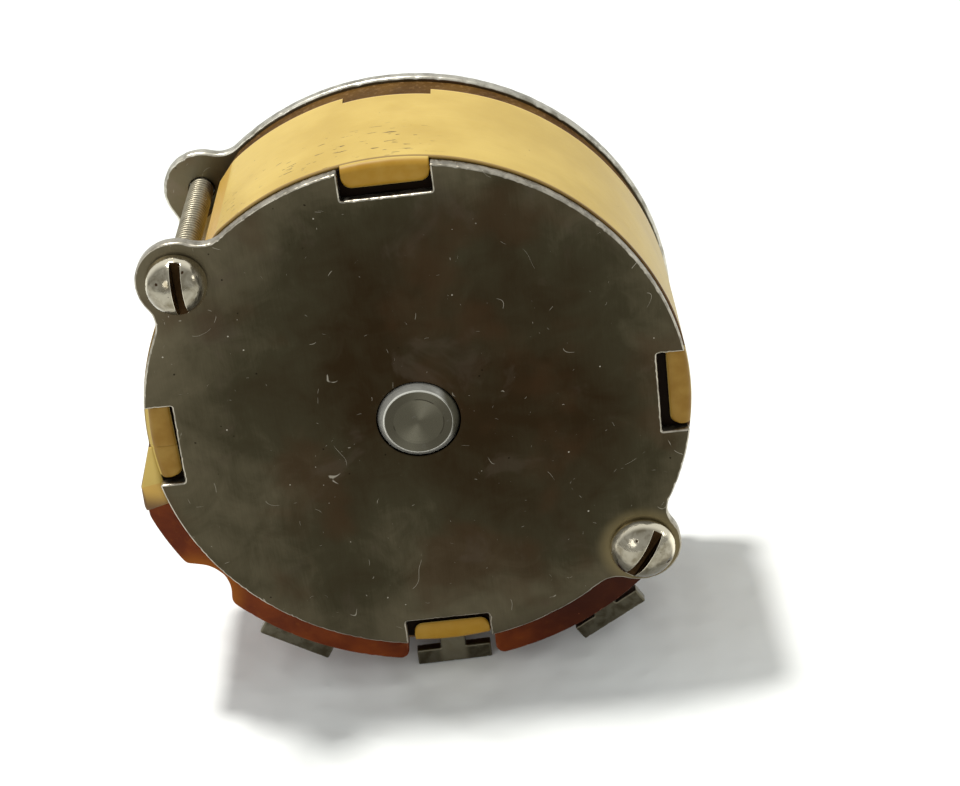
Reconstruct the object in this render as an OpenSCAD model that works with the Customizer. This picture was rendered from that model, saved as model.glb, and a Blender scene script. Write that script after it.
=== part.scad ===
// Single-turn wirewound potentiometer with a panel bushing.
// Frame: millimetres, shaft axis along Y, shaft tip towards +Y, solder terminals towards -Z.
// The origin is on the shaft axis, on the front plate's mounting face.
// Each sub-part is drawn with its axis along Z, with the mounting face at Z = 0 and the rear
// plate towards +Z, and to_row_frame() turns it into the frame above.

/* [End plates] */
// Diameter of the rear plate
plate_d = 42.1; // [40:0.1:44]
// Diameter of the front plate
front_plate_d = 42.7; // [40:0.1:44]
// Sheet thickness of both end plates
plate_t = 1; // [0.8:0.1:1.2]
// Distance from the mounting face to the rear plate's outer face
body_depth = 19.05; // [18.5:0.05:22]
// Radius of the rounded ear that takes each tie screw
ear_r = 3.3; // [2.9:0.1:3.6]
// Distance of the tie screws from the shaft axis
screw_circle_r = 21.3; // [21:0.05:22]
// Direction of the upper ear, counted from +X in the rear view
ear_angle = 140; // [130:1:145]
// Radius of the hollow curve between an ear and the rim
ear_fillet_r = 2.2; // [1:0.1:3]
// Width of the four notches in the rear plate's rim
notch_w = 6.8; // [6:0.1:8]
// Distance of each notch's floor from the shaft axis
notch_floor = 18.6; // [18:0.1:19.5]

/* [Housing] */
// Wall thickness of the moulded ring
ring_wall = 2.35; // [1.8:0.05:3]
// Thickness of the yellow insulating film
film_t = 0.25; // [0.2:0.05:0.3]
// Gap between the front plate and the film's front edge
film_front_gap = 2.35; // [1.5:0.05:3]
// Outer radius of the terminal block on the left of the centre terminal
block_r = 23.4; // [23:0.1:24]
// Outer radius of the terminal block on the right of the centre terminal
block_right_r = 23.85; // [23:0.05:24]
// Width of the recess in the block around the centre terminal
block_slot_w = 7.2; // [6.8:0.1:8]

/* [Terminals] */
// Angle from the centre terminal to each end terminal
terminal_spread = 31.5; // [30:0.5:34]
// Width of a terminal's crossbar
bar_w = 6.2; // [5:0.1:6.6]
// Height of a terminal's crossbar
bar_h = 1.4; // [1:0.1:1.8]
// Width of a terminal's neck
neck_w = 2.1; // [1.6:0.1:2.6]
// Sheet thickness of the terminals
terminal_t = 0.9; // [0.6:0.1:1]
// Depth of the terminals below the rear plate's outer face
terminal_depth = 2.5; // [2.4:0.1:3]
// Reach of the left terminal from the shaft axis
reach_left = 25.25; // [25:0.05:26.5]
// Reach of the centre terminal from the shaft axis
reach_centre = 24.7; // [24.5:0.05:26.5]
// Reach of the right terminal from the shaft axis
reach_right = 26.15; // [25:0.05:26.5]

/* [Shaft and bushing] */
// Diameter of the shaft
shaft_d = 6.35; // [6:0.05:6.35]
// Length of the shaft in front of the mounting face
shaft_reach = 22.2; // [16:0.1:40]
// Major diameter of the bushing's thread
bushing_d = 9.525; // [9.5:0.025:10]
// Length of the bushing in front of the mounting face
bushing_reach = 9.525; // [6:0.025:12.7]
// Total angle that the shaft turns through
travel = 297; // [280:1:300]

/* [Hidden] */

$fn = 96;
eps = 0.01;          // overrun of a cutting tool past the face it cuts
slip = 0.02;         // gap between fixed pieces that fit together
running_fit = 0.075; // radial gap between the shaft and the rear plate's hole

nickel = [0.42, 0.39, 0.32];
bright_nickel = [0.72, 0.70, 0.64];
brass = [0.78, 0.66, 0.38];
steel = [0.62, 0.62, 0.60];
brown_phenolic = [0.30, 0.17, 0.07];
red_phenolic = [0.45, 0.18, 0.08];
yellow_film = [0.90, 0.76, 0.42];
wire_copper = [0.62, 0.44, 0.28];
card_tan = [0.66, 0.52, 0.34];
bronze = [0.70, 0.50, 0.30];

// Plates and the stack between them
plate_r = plate_d / 2;
front_plate_r = front_plate_d / 2;
ring_front = plate_t;
ring_rear = body_depth - plate_t;
ring_r = plate_r - 0.1;
bore_r = ring_r - ring_wall;
ear_angles = [ear_angle, ear_angle - 180];
ear_centre_r = screw_circle_r - 0.2;
notch_angles = [0, 90, 180, 270];

// Tie screws, number 2 size
screw_r = 1;
screw_head_rs = [2.32, 2.62];     // of the upper and the lower screw
screw_head_hs = [2.55, 2.1];
screw_head_side = 0.45;           // height of the head's straight side under its dome
screw_slot_w = 0.76;
screw_slot_floors = [1.15, 1.0];  // height of the slot's floor above the rear plate
screw_slot_shifts = [-0.35, 0];   // distance of the slot from the head's centre, to its left
screw_clear = 0.15;
screw_slot_turns = [90, 55];
screw_tip = 0.1;                  // distance of the screw's tip behind the mounting face

// A flat and a round hollow along the ring, which make room for each tie screw
groove_flat = 20.71;
groove_r = 3.14;
groove_centre_r = 23;
groove_half_w = 7;

// Insulating film
film_r = ring_r + film_t;
film_front = plate_t + film_front_gap;
film_rear = ring_rear - 0.2;
film_cut_w = 7;
film_cut_depth = 1.1;
tab_w = 6.2;
tab_inners = [19.15, 19.15, 18.85, 19.15];
tab_corner_r = 0.65;
tab_setback = 0.2;                // gap between a tab's outer edge and the film's outside
ramp_angle = 190;                 // direction of the block's corner that the film bends over
ramp_corner_r = 22.9;             // distance of that corner, outside the film
ramp_leave = 180.5;               // direction in which the film leaves the ring
ramp_chord = sqrt(film_r * film_r + ramp_corner_r * ramp_corner_r
                  - 2 * film_r * ramp_corner_r * cos(ramp_angle - ramp_leave));
ramp_x = film_r * ramp_corner_r * sin(ramp_angle - ramp_leave) / ramp_chord;
ramp_from = sqrt(film_r * film_r - ramp_x * ramp_x);
ramp_reach = sqrt(ramp_corner_r * ramp_corner_r - ramp_x * ramp_x);
ramp_start = ramp_angle - acos(ramp_x / ramp_corner_r);
ramp_lap = 1.6;                   // length of the film past the corner
ramp_bend = 17;                   // turn of the film at the corner
fold_end_angle = 195.5;           // direction at which the fold over the block's rear face ends
fold_t = 0.15;

// Terminal block, a sector outside the film
block_inner = film_r + 0.05;
block_end_angle = -42;
block_notch_angle = -144;
block_notch_r = 2.75;
block_notch_floor = 21.85;
block_web = 14;                   // height of the centre recess's floor
block_rear = film_rear - slip;
block_step_angle = asin(block_slot_w / 2 / block_r) - 90;
block_corner_r = 0.7;
block_screw_room = 2.9;
half_plane = 120;                 // side of the squares that stand for half planes

// Terminals
terminal_rear = body_depth - terminal_depth;
terminal_front = terminal_rear - terminal_t;
terminal_tail_r = 17.2;
left_angle = -90 - terminal_spread;
centre_angle = -90;
right_angle = -90 + terminal_spread;

// Resistance element: a wound card bent round inside the ring
card_inner = 16.7;
card_outer = 17.7;
card_front = 4.2;
card_rear = 14.2;
card_half_angle = 153.7;
winding_t = 0.22;
card_fit = 0.03;                  // gap between the winding and its card
winding_end = 0.3;                // angle of bare card past each end of the winding
winding_inner = card_inner - card_fit - winding_t;
winding_outer = card_outer + card_fit + winding_t;
clip_from = travel / 2 + 2.5;
clip_to = card_half_angle + 0.6;
clip_t = 0.2;
lead_inner = winding_outer + clip_t + 0.04;
lead_outer = lead_inner + 0.28;
lead_front = 9;
lead_half_angle = 2.4;

// Shaft, bushing and what turns on the shaft
shaft_r = shaft_d / 2;
shaft_rear = body_depth + 0.4;
shaft_chamfer = 0.52;
bushing_r = bushing_d / 2;
bushing_bore_r = shaft_r + 0.025;
bushing_chamfer = 0.4;
spigot_r = 5.15;
flange_r = 7;
flange_rear = plate_t + 1.4;
snap_groove_r = 2.75;
snap_ring_r = 4.5;
snap_front = -bushing_reach - 0.1;
snap_t = 0.65;
washer_rear = flange_rear + 0.5;
stop_front = washer_rear + 0.05;
stop_t = 1.2;
post_r = 1.5;
post_circle_r = 11.5;
stop_clear = 0.1;
stop_half_angle = 180 - travel / 2 - asin((post_r + stop_clear) / post_circle_r);
hub_front = stop_front + stop_t;
hub_rear = 13;
hub_r = 6;
hub_flange_r = 9.5;
hub_flange_t = 1.5;
arm_front = 9;
arm_t = 0.3;
contact_gap = 0.1;
contact_w = 1.2;
collector_inner = 4.4;
collector_outer = 6.4;
collector_t = 1.2;
brush_t = 0.3;
brush_r = 5.4;
brush_w = 2.4;
link_w = 2;
link_t = 0.3;

// Lug that stops the body turning in the panel
key_w = 3.2;
key_t = 1.3;
key_h = 1.6;
key_circle_r = 13.5;
key_flange = 0.6;

// Small fasteners
post_foot_r = 0.9;
hub_screw_r = 1.2;
hub_screw_z = 11;
rivet_x = 1.6;
rivet_y = 7.8;
rivet_r = 0.5;
rivet_head_h = 0.35;

// Turns the drawing frame into the row's frame.
module to_row_frame() {
    rotate([90, 0, 0]) children();
}

// A tube between two heights.
module tube(outer, inner, z0, z1) {
    translate([0, 0, z0]) difference() {
        cylinder(r = outer, h = z1 - z0);
        translate([0, 0, -eps]) cylinder(r = inner, h = z1 - z0 + 2 * eps);
    }
}

// A wedge-shaped outline between two directions, drawn in four steps.
module wedge(from, to, reach) {
    step = (to - from) / 4;
    polygon(concat([[0, 0]],
                   [for (i = [0:4]) reach * [cos(from + i * step), sin(from + i * step)]]));
}

// A sector of a tube.
module tube_sector(outer, inner, from, to, z0, z1) {
    translate([0, 0, z0]) linear_extrude(z1 - z0) intersection() {
        difference() {
            circle(r = outer);
            circle(r = inner);
        }
        wedge(from, to, 2 * outer);
    }
}

// The kite between the axis, an ear and its two hollow fillets.
module ear_blend(rim_r) {
    a = rim_r + ear_fillet_r;
    b = ear_r + ear_fillet_r;
    c = ear_centre_r;
    side = acos((a * a + c * c - b * b) / (2 * a * c));
    difference() {
        polygon([[0, 0], [a * cos(side), -a * sin(side)], [c, 0], [a * cos(side), a * sin(side)]]);
        for (s = [-1, 1]) {
            translate([a * cos(side), s * a * sin(side)]) circle(r = ear_fillet_r);
        }
    }
}

// The outline that both plates share: a disc with two ears.
module plate_outline(rim_r, hole_r) {
    difference() {
        union() {
            circle(r = rim_r);
            for (a = ear_angles) rotate(a) {
                translate([ear_centre_r, 0]) circle(r = ear_r);
                ear_blend(rim_r);
            }
        }
        for (a = ear_angles) rotate(a) translate([screw_circle_r, 0]) circle(r = hole_r);
    }
}

module front_plate() {
    color(nickel) to_row_frame() difference() {
        linear_extrude(plate_t) plate_outline(front_plate_r, screw_r + slip);
        translate([0, 0, -eps]) cylinder(r = spigot_r + slip, h = 2 * plate_t);
        translate([-key_w / 2 - slip, key_circle_r - key_t / 2 - slip, -eps])
            cube([key_w + 2 * slip, key_t + 2 * slip, 2 * plate_t]);
        rotate(-90) translate([post_circle_r, 0, -eps])
            cylinder(r = post_foot_r + slip, h = 2 * plate_t);
    }
}

module rear_plate() {
    color(nickel) to_row_frame() translate([0, 0, ring_rear]) linear_extrude(plate_t) difference() {
        plate_outline(plate_r, screw_r + screw_clear);
        circle(r = shaft_r + running_fit);
        for (a = notch_angles) rotate(a) translate([notch_floor, -notch_w / 2])
            square([plate_r, notch_w]);
    }
}

module mounting_bushing() {
    color(brass) to_row_frame() difference() {
        union() {
            translate([0, 0, -bushing_reach + bushing_chamfer])
                cylinder(r = bushing_r, h = bushing_reach - bushing_chamfer);
            translate([0, 0, -bushing_reach])
                cylinder(r1 = bushing_r - bushing_chamfer, r2 = bushing_r, h = bushing_chamfer);
            cylinder(r = spigot_r, h = plate_t + eps);
            translate([0, 0, plate_t]) cylinder(r = flange_r, h = flange_rear - plate_t);
        }
        translate([0, 0, -bushing_reach - eps])
            cylinder(r = bushing_bore_r, h = bushing_reach + flange_rear + 2 * eps);
    }
}

module locating_key() {
    color(nickel) to_row_frame() {
        translate([-key_w / 2, key_circle_r - key_t / 2, -key_h])
            cube([key_w, key_t, key_h + plate_t + eps]);
        translate([-key_w / 2 - key_flange, key_circle_r - key_t / 2 - key_flange, plate_t])
            cube([key_w + 2 * key_flange, key_t + 2 * key_flange, key_flange]);
    }
}

// The flats and hollows for the tie screws, moved inwards by depth.
module screw_grooves(depth) {
    for (a = ear_angles) rotate(a) {
        translate([groove_flat - depth, -groove_half_w]) square(2 * groove_half_w);
        translate([groove_centre_r, 0]) circle(r = groove_r + depth);
    }
}

// Openings that the three terminal tails pass through.
module terminal_slots() {
    for (a = [left_angle, centre_angle, right_angle]) rotate(a)
        translate([terminal_tail_r, -neck_w / 2 - slip, terminal_front - slip])
            cube([block_r, neck_w + 2 * slip, terminal_t + 2 * slip]);
}

module housing_ring() {
    color(brown_phenolic) to_row_frame() difference() {
        translate([0, 0, ring_front]) linear_extrude(ring_rear - ring_front) difference() {
            circle(r = ring_r);
            circle(r = bore_r);
            screw_grooves(film_t + slip);
        }
        terminal_slots();
    }
}

// A tab of the film, folded in over the ring's rear face inside a notch.
module film_tab(inner) {
    reach = film_r - inner;
    translate([inner, -tab_w / 2, ring_rear + slip]) linear_extrude(film_t) {
        translate([tab_corner_r, 0]) square([reach - tab_corner_r - tab_setback, tab_w]);
        translate([0, tab_corner_r]) square([tab_corner_r + eps, tab_w - 2 * tab_corner_r]);
        for (y = [tab_corner_r, tab_w - tab_corner_r])
            translate([tab_corner_r, y]) circle(r = tab_corner_r);
    }
    translate([0, 0, film_rear - eps]) linear_extrude(ring_rear + slip + film_t - film_rear + eps)
        intersection() {
            difference() {
                circle(r = film_r);
                circle(r = ring_r + slip);
            }
            translate([0, -tab_w / 2]) square([2 * film_r, tab_w]);
        }
}

module insulating_wrap() {
    color(yellow_film) to_row_frame() difference() {
        union() {
            translate([0, 0, film_front]) linear_extrude(film_rear - film_front) {
                difference() {
                    circle(r = film_r);
                    circle(r = ring_r + slip);
                    screw_grooves(0);
                }
                difference() {
                    intersection() {
                        circle(r = film_r);
                        screw_grooves(film_t);
                    }
                    screw_grooves(0);
                }
            }
            for (i = [0:3]) rotate(notch_angles[i]) film_tab(tab_inners[i]);
            translate([0, 0, film_front]) linear_extrude(film_rear - film_front) rotate(ramp_start)
                film_lap();
            translate([0, 0, film_rear - eps]) linear_extrude(fold_t + eps) film_fold();
        }
        for (a = notch_angles) rotate(a) translate([0, -film_cut_w / 2, film_front - eps])
            cube([film_r + 0.1, film_cut_w, film_cut_depth + eps]);
        terminal_slots();
    }
}

// The film's outer end, which leaves the ring in a straight line and bends over the block.
module film_lap() {
    translate([ramp_x - film_t, 0]) {
        translate([0, ramp_from + slip]) square([film_t, ramp_reach - ramp_from - slip]);
        translate([0, ramp_reach - eps]) rotate(ramp_bend) square([film_t, ramp_lap]);
    }
}

// The region within the flat ramp that the film lies on and within the flank past its corner,
// both moved outwards.
module within_ramp(outwards) {
    reach = ramp_x - film_t + outwards;
    rotate(ramp_start) intersection() {
        translate([reach - half_plane, -half_plane / 2]) square(half_plane);
        translate([reach, ramp_reach]) rotate(ramp_bend)
            translate([-half_plane, -half_plane / 2]) square(half_plane);
    }
}

// The film's rear edge beside the lap, folded flat over the block's rear face.
module film_fold() {
    intersection() {
        within_ramp(film_t);
        wedge(ramp_start, fold_end_angle, 2 * film_r);
        difference() {
            circle(r = block_r);
            circle(r = ring_r + slip);
        }
    }
}

module terminal_block() {
    color(red_phenolic) to_row_frame() difference() {
        translate([0, 0, film_front]) linear_extrude(block_rear - film_front) difference() {
            intersection() {
                difference() {
                    union() {
                        circle(r = block_r);
                        intersection() {
                            circle(r = block_right_r);
                            wedge(block_step_angle, block_end_angle, 2 * block_r);
                        }
                    }
                    circle(r = block_inner);
                }
                wedge(ramp_start - 360, block_end_angle, 2 * block_r);
                within_ramp(-slip);
            }
            rotate(block_notch_angle) translate([block_notch_floor + block_notch_r, 0])
                circle(r = block_notch_r);
            rotate(ear_angle - 180) translate([screw_circle_r, 0]) circle(r = block_screw_room);
        }
        rotate(centre_angle) translate([0, 0, block_web]) linear_extrude(body_depth) {
            translate([0, -block_slot_w / 2]) square([2 * block_r, block_slot_w]);
            // Rounded outer corners of the recess
            for (side = [[-1, block_r], [1, block_right_r]]) difference() {
                translate([side[1] - block_corner_r - 0.1,
                           side[0] * block_slot_w / 2 - block_corner_r])
                    square([2, 2 * block_corner_r]);
                translate([side[1] - block_corner_r - 0.1,
                           side[0] * (block_slot_w / 2 + block_corner_r)])
                    circle(r = block_corner_r);
            }
        }
        terminal_slots();
    }
}

// A T-shaped solder lug whose tail runs in to the element.
module terminal(angle, reach) {
    color(nickel) to_row_frame() rotate(angle) translate([0, 0, terminal_front])
        linear_extrude(terminal_t) {
            translate([terminal_tail_r, -neck_w / 2])
                square([reach - terminal_tail_r, neck_w]);
            translate([reach - bar_h, -bar_w / 2]) square([bar_h, bar_w]);
        }
}

module terminal_left() {
    terminal(left_angle, reach_left);
}

module terminal_centre() {
    terminal(centre_angle, reach_centre);
}

module terminal_right() {
    terminal(right_angle, reach_right);
}

module element_card() {
    color(card_tan) to_row_frame()
        tube_sector(card_outer, card_inner, 90 - card_half_angle, 90 + card_half_angle,
                    card_front, card_rear);
}

module element_winding() {
    color(wire_copper) to_row_frame() difference() {
        tube_sector(winding_outer, winding_inner, 90 - card_half_angle + winding_end,
                    90 + card_half_angle - winding_end, card_front - card_fit - winding_t,
                    card_rear + card_fit + winding_t);
        tube(card_outer + card_fit, card_inner - card_fit, card_front - card_fit,
             card_rear + card_fit);
    }
}

// A clip that grips one end of the winding: side is -1 on the left and 1 on the right.
module end_clip(side) {
    from = side > 0 ? 90 - clip_to : 90 + clip_from;
    to = side > 0 ? 90 - clip_from : 90 + clip_to;
    color(bright_nickel) to_row_frame() difference() {
        tube_sector(winding_outer + slip + clip_t, winding_inner - slip - clip_t, from, to,
                    card_front - 0.05 - winding_t - clip_t, card_rear + 0.05 + winding_t + clip_t);
        tube(winding_outer + slip, winding_inner - slip, card_front - 0.05 - winding_t,
             card_rear + 0.05 + winding_t);
    }
}

module end_clip_left() {
    end_clip(-1);
}

module end_clip_right() {
    end_clip(1);
}

// The strap from an end clip up to the underside of its terminal's tail.
module end_lead(side) {
    middle = 90 - side * (travel / 2 + 2.5 + 0.6);
    color(bright_nickel) to_row_frame()
        tube_sector(lead_outer, lead_inner, middle - lead_half_angle / 2,
                    middle + lead_half_angle / 2, lead_front, terminal_front - slip);
}

module end_lead_left() {
    end_lead(-1);
}

module end_lead_right() {
    end_lead(1);
}

// Leaf spring from the centre terminal's tail in to the collector ring.
module collector_brush() {
    color(bronze) to_row_frame() rotate(centre_angle)
        translate([0, 0, terminal_front - slip - brush_t]) linear_extrude(brush_t) difference() {
            translate([brush_r, -brush_w / 2]) square([terminal_tail_r + 1 - brush_r, brush_w]);
            translate([brush_r + 5, -brush_w / 6]) square([4, brush_w / 3]);
        }
    color(bronze) to_row_frame() rotate(centre_angle)
        translate([brush_r, 0, terminal_front - slip - brush_t])
            cylinder(r = brush_w / 2, h = brush_t);
}

// Button under the brush that rubs on the collector ring.
module brush_contact() {
    bottom = hub_rear + collector_t + 0.05;
    color(bright_nickel) to_row_frame() rotate(centre_angle) translate([brush_r, 0, bottom])
        cylinder(r = 0.7, h = terminal_front - slip - brush_t - bottom);
}

// A slotted round-head screw through one pair of ears.
module tie_screw(i) {
    angle = ear_angles[i];
    head_r = screw_head_rs[i];
    head_h = screw_head_hs[i];
    cap = head_h - screw_head_side;
    dome_r = (head_r * head_r + cap * cap) / (2 * cap);
    color(bright_nickel) to_row_frame() rotate(angle) translate([screw_circle_r, 0, 0]) {
        translate([0, 0, screw_tip]) cylinder(r = screw_r, h = body_depth);
        translate([0, 0, body_depth]) difference() {
            intersection() {
                cylinder(r = head_r, h = head_h);
                translate([0, 0, head_h - dome_r]) sphere(r = dome_r);
            }
            rotate(screw_slot_turns[i] - angle)
                translate([-head_r, screw_slot_shifts[i] - screw_slot_w / 2, screw_slot_floors[i]])
                cube([2 * head_r, screw_slot_w, head_h]);
        }
    }
}

module tie_screw_upper() {
    tie_screw(0);
}

module tie_screw_lower() {
    tie_screw(1);
}

// Fixed post that the stop arm meets at both ends of the travel.
module stop_post() {
    color(steel) to_row_frame() rotate(-90) translate([post_circle_r, 0, 0]) {
        translate([0, 0, screw_tip]) cylinder(r = post_foot_r, h = plate_t);
        translate([0, 0, plate_t]) cylinder(r = post_r, h = stop_front + stop_t - plate_t);
    }
}

module thrust_washer() {
    color(bronze) to_row_frame() tube(flange_r - 0.5, shaft_r + 0.1, flange_rear, washer_rear);
}

module shaft() {
    color(steel) to_row_frame() rotate_extrude() polygon([
        [0, -shaft_reach],
        [shaft_r - shaft_chamfer, -shaft_reach],
        [shaft_r, -shaft_reach + shaft_chamfer],
        [shaft_r, snap_front - snap_t - 0.05],
        [snap_groove_r, snap_front - snap_t - 0.05],
        [snap_groove_r, snap_front + 0.05],
        [shaft_r, snap_front + 0.05],
        [shaft_r, shaft_rear - shaft_chamfer],
        [shaft_r - shaft_chamfer, shaft_rear],
        [0, shaft_rear]
    ]);
}

// Open ring in the shaft's groove, just in front of the bushing.
module retaining_ring() {
    color(steel) to_row_frame() difference() {
        tube(snap_ring_r, snap_groove_r + slip, snap_front - snap_t, snap_front);
        translate([0, -1, snap_front - snap_t - eps]) cube([snap_ring_r + 1, 2, snap_t + 2 * eps]);
    }
}

module rotor_hub() {
    color(brown_phenolic) to_row_frame() difference() {
        union() {
            translate([0, 0, hub_front]) cylinder(r = hub_r, h = hub_rear - hub_front);
            translate([0, 0, arm_front - hub_flange_t])
                cylinder(r = hub_flange_r, h = hub_flange_t);
        }
        translate([0, 0, hub_front - eps]) cylinder(r = shaft_r + eps, h = hub_rear);
        rotate(-90) translate([0, 0, hub_screw_z]) rotate([0, 90, 0])
            cylinder(r = hub_screw_r + slip, h = hub_r + 1);
        for (x = [-rivet_x, rivet_x]) translate([x, rivet_y, 0])
            cylinder(r = rivet_r + slip, h = hub_rear);
    }
}

// Set screw that clamps the hub to the shaft.
module hub_screw() {
    color(steel) to_row_frame() rotate(-90) translate([0, 0, hub_screw_z]) rotate([0, 90, 0])
        difference() {
            translate([0, 0, shaft_r + 0.05]) cylinder(r = hub_screw_r, h = hub_r - shaft_r - 0.3);
            translate([-hub_screw_r, -0.2, hub_r - 0.75]) cube([2 * hub_screw_r, 0.4, 1]);
        }
}

module stop_arm() {
    color(steel) to_row_frame() {
        tube(hub_r, shaft_r + eps, stop_front, stop_front + stop_t);
        tube_sector(post_circle_r + post_r, hub_r - 1, 90 - stop_half_angle,
                    90 + stop_half_angle, stop_front, stop_front + stop_t);
    }
}

// Leaf spring that carries the contact round the element.
module wiper_arm() {
    tip = winding_inner - contact_gap - 0.9;
    color(bronze) to_row_frame() translate([0, 0, arm_front]) linear_extrude(arm_t) difference() {
        polygon([[-2.8, hub_r + 0.15], [2.8, hub_r + 0.15], [2.6, hub_flange_r],
                 [1.1, tip], [-1.1, tip], [-2.6, hub_flange_r]]);
        for (x = [-rivet_x, rivet_x]) translate([x, rivet_y]) circle(r = rivet_r + slip);
        // Slit that makes the two springy fingers
        translate([-0.25, hub_flange_r]) square([0.5, tip - hub_flange_r - 1.2]);
    }
}

module wiper_contact() {
    inner = winding_inner - contact_gap - 1.6;
    outer = winding_inner - contact_gap;
    color(bright_nickel) to_row_frame() rotate(90) intersection() {
        translate([inner, -contact_w / 2, arm_front + arm_t])
            cube([outer - inner + 1, contact_w, 0.8]);
        cylinder(r = outer, h = body_depth);
    }
}

module wiper_rivets() {
    color(brass) to_row_frame() for (x = [-rivet_x, rivet_x]) translate([x, rivet_y, 0]) {
        translate([0, 0, arm_front - hub_flange_t]) cylinder(r = rivet_r, h = hub_flange_t + arm_t);
        translate([0, 0, arm_front + arm_t]) cylinder(r = 2 * rivet_r, h = rivet_head_h);
    }
}

module collector_ring() {
    color(brass) to_row_frame() tube(collector_outer, collector_inner, hub_rear,
                                     hub_rear + collector_t);
}

// Strip that joins the collector ring to the wiper's arm.
module collector_link() {
    color(brass) to_row_frame() translate([-link_w / 2, hub_r + 0.05, arm_front + arm_t])
        cube([link_w, link_t, hub_rear - arm_front - arm_t]);
}

front_plate();
rear_plate();
mounting_bushing();
locating_key();
housing_ring();
insulating_wrap();
terminal_block();
terminal_left();
terminal_centre();
terminal_right();
element_card();
element_winding();
end_clip_left();
end_clip_right();
end_lead_left();
end_lead_right();
collector_brush();
brush_contact();
tie_screw_upper();
tie_screw_lower();
stop_post();
thrust_washer();
shaft();
retaining_ring();
rotor_hub();
hub_screw();
stop_arm();
wiper_arm();
wiper_contact();
wiper_rivets();
collector_ring();
collector_link();
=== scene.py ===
"""Looks of a single-turn wirewound potentiometer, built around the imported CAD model.

Every outline below is drawn in millimetres in a drawing frame: X to the right and Y up as seen
from the rear, Z from the mounting face (0) to the rear plate. row() turns a point into the shared
frame in metres. Angles are in degrees from +X, counter-clockwise in the rear view.
"""

import math

import bpy
import bmesh
import numpy as np
from mathutils import Matrix, Vector
from mathutils.geometry import tessellate_polygon

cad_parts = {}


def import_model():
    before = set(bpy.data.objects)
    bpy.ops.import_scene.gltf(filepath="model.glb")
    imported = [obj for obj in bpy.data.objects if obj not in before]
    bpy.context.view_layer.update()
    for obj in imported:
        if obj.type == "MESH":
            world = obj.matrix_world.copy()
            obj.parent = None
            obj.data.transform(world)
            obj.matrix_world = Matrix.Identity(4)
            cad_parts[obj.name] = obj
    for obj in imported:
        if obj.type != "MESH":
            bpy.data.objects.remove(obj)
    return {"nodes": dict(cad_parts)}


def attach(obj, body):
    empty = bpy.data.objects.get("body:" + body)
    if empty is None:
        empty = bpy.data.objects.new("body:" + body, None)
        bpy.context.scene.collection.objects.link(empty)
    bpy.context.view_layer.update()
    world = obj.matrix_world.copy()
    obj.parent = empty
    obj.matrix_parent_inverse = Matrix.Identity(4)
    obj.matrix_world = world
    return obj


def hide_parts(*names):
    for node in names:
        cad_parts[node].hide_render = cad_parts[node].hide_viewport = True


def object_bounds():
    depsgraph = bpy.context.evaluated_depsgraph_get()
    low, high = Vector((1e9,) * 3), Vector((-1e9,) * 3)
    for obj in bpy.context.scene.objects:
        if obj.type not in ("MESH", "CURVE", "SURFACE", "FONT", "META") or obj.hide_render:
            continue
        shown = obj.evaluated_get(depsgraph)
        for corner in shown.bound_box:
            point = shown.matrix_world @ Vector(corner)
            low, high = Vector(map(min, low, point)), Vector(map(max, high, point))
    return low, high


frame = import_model()
cad_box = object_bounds()

# Sizes that the CAD source also holds, in millimetres
PLATE_R = 21.05
FRONT_PLATE_R = 21.35
PLATE_T = 1.0
DEPTH = 19.05
RING_REAR = DEPTH - PLATE_T
EAR_R = 3.3
EAR_CENTRE_R = 21.1
EAR_FILLET_R = 2.2
EAR_ANGLES = (140.0, -40.0)
SCREW_CIRCLE_R = 21.3
NOTCH_ANGLES = (0.0, 90.0, 180.0, 270.0)
NOTCH_W = 6.8
NOTCH_FLOOR = 18.6
RING_R = 20.95
BORE_R = 18.6
WINDING_R = 17.2
FILM_T = 0.25
FILM_R = RING_R + FILM_T
FILM_FRONT = 3.35
FILM_REAR = 17.85
FILM_CUT_W = 7.0
FILM_CUT_DEPTH = 1.1
TAB_CORNER_R = 0.75
TAB_TOP = 18.55
TAB_FOLD_R = 0.6
# Each notch: direction, inner edge of its tab, both ends of the tab, setback of its outer edge,
# corner radius at both ends
TABS = ((0.0, 19.35, -3.10, 3.36, 0.05, TAB_CORNER_R, 0.1),
        (90.0, 19.3, -3.35, 3.15, 0.0, TAB_CORNER_R, TAB_CORNER_R),
        (180.0, 18.92, -3.36, 3.0, 0.32, 0.1, TAB_CORNER_R),
        (270.0, 19.3, -2.85, 3.3, 0.0, TAB_CORNER_R, TAB_CORNER_R))
# The film leaves the ring in a straight line towards the block's corner. RAMP_X is the line's
# distance from the axis, RAMP_START the direction square to it
RAMP_LEAVE = 180.5
RAMP_CORNER = 190.0
RAMP_CORNER_R = 22.9
RAMP_TURN = math.radians(RAMP_CORNER - RAMP_LEAVE)
RAMP_X = FILM_R * RAMP_CORNER_R * math.sin(RAMP_TURN) / math.sqrt(
    FILM_R ** 2 + RAMP_CORNER_R ** 2 - 2 * FILM_R * RAMP_CORNER_R * math.cos(RAMP_TURN))
RAMP_FROM = math.sqrt(FILM_R ** 2 - RAMP_X ** 2)
RAMP_REACH = math.sqrt(RAMP_CORNER_R ** 2 - RAMP_X ** 2)
RAMP_START = RAMP_CORNER - math.degrees(math.acos(RAMP_X / RAMP_CORNER_R))
RAMP_BEND = 17.0
RAMP_LAP = 1.6
FOLD_END = 195.5
FOLD_TOP = 18.0
GROOVE_FLAT = 20.71
GROOVE_R = 3.14
GROOVE_CENTRE_R = 23.0
BLOCK_R = 23.4
BLOCK_RIGHT_R = 23.85
BLOCK_REAR = 17.83
BLOCK_INNER = FILM_R + 0.05
BLOCK_WEB = 14.0
BLOCK_SLOT_W = 7.2
BLOCK_CORNER_R = 0.7
BLOCK_STEP = (277.0, 279.5)  # bearings between which the block grows to BLOCK_RIGHT_R
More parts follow.
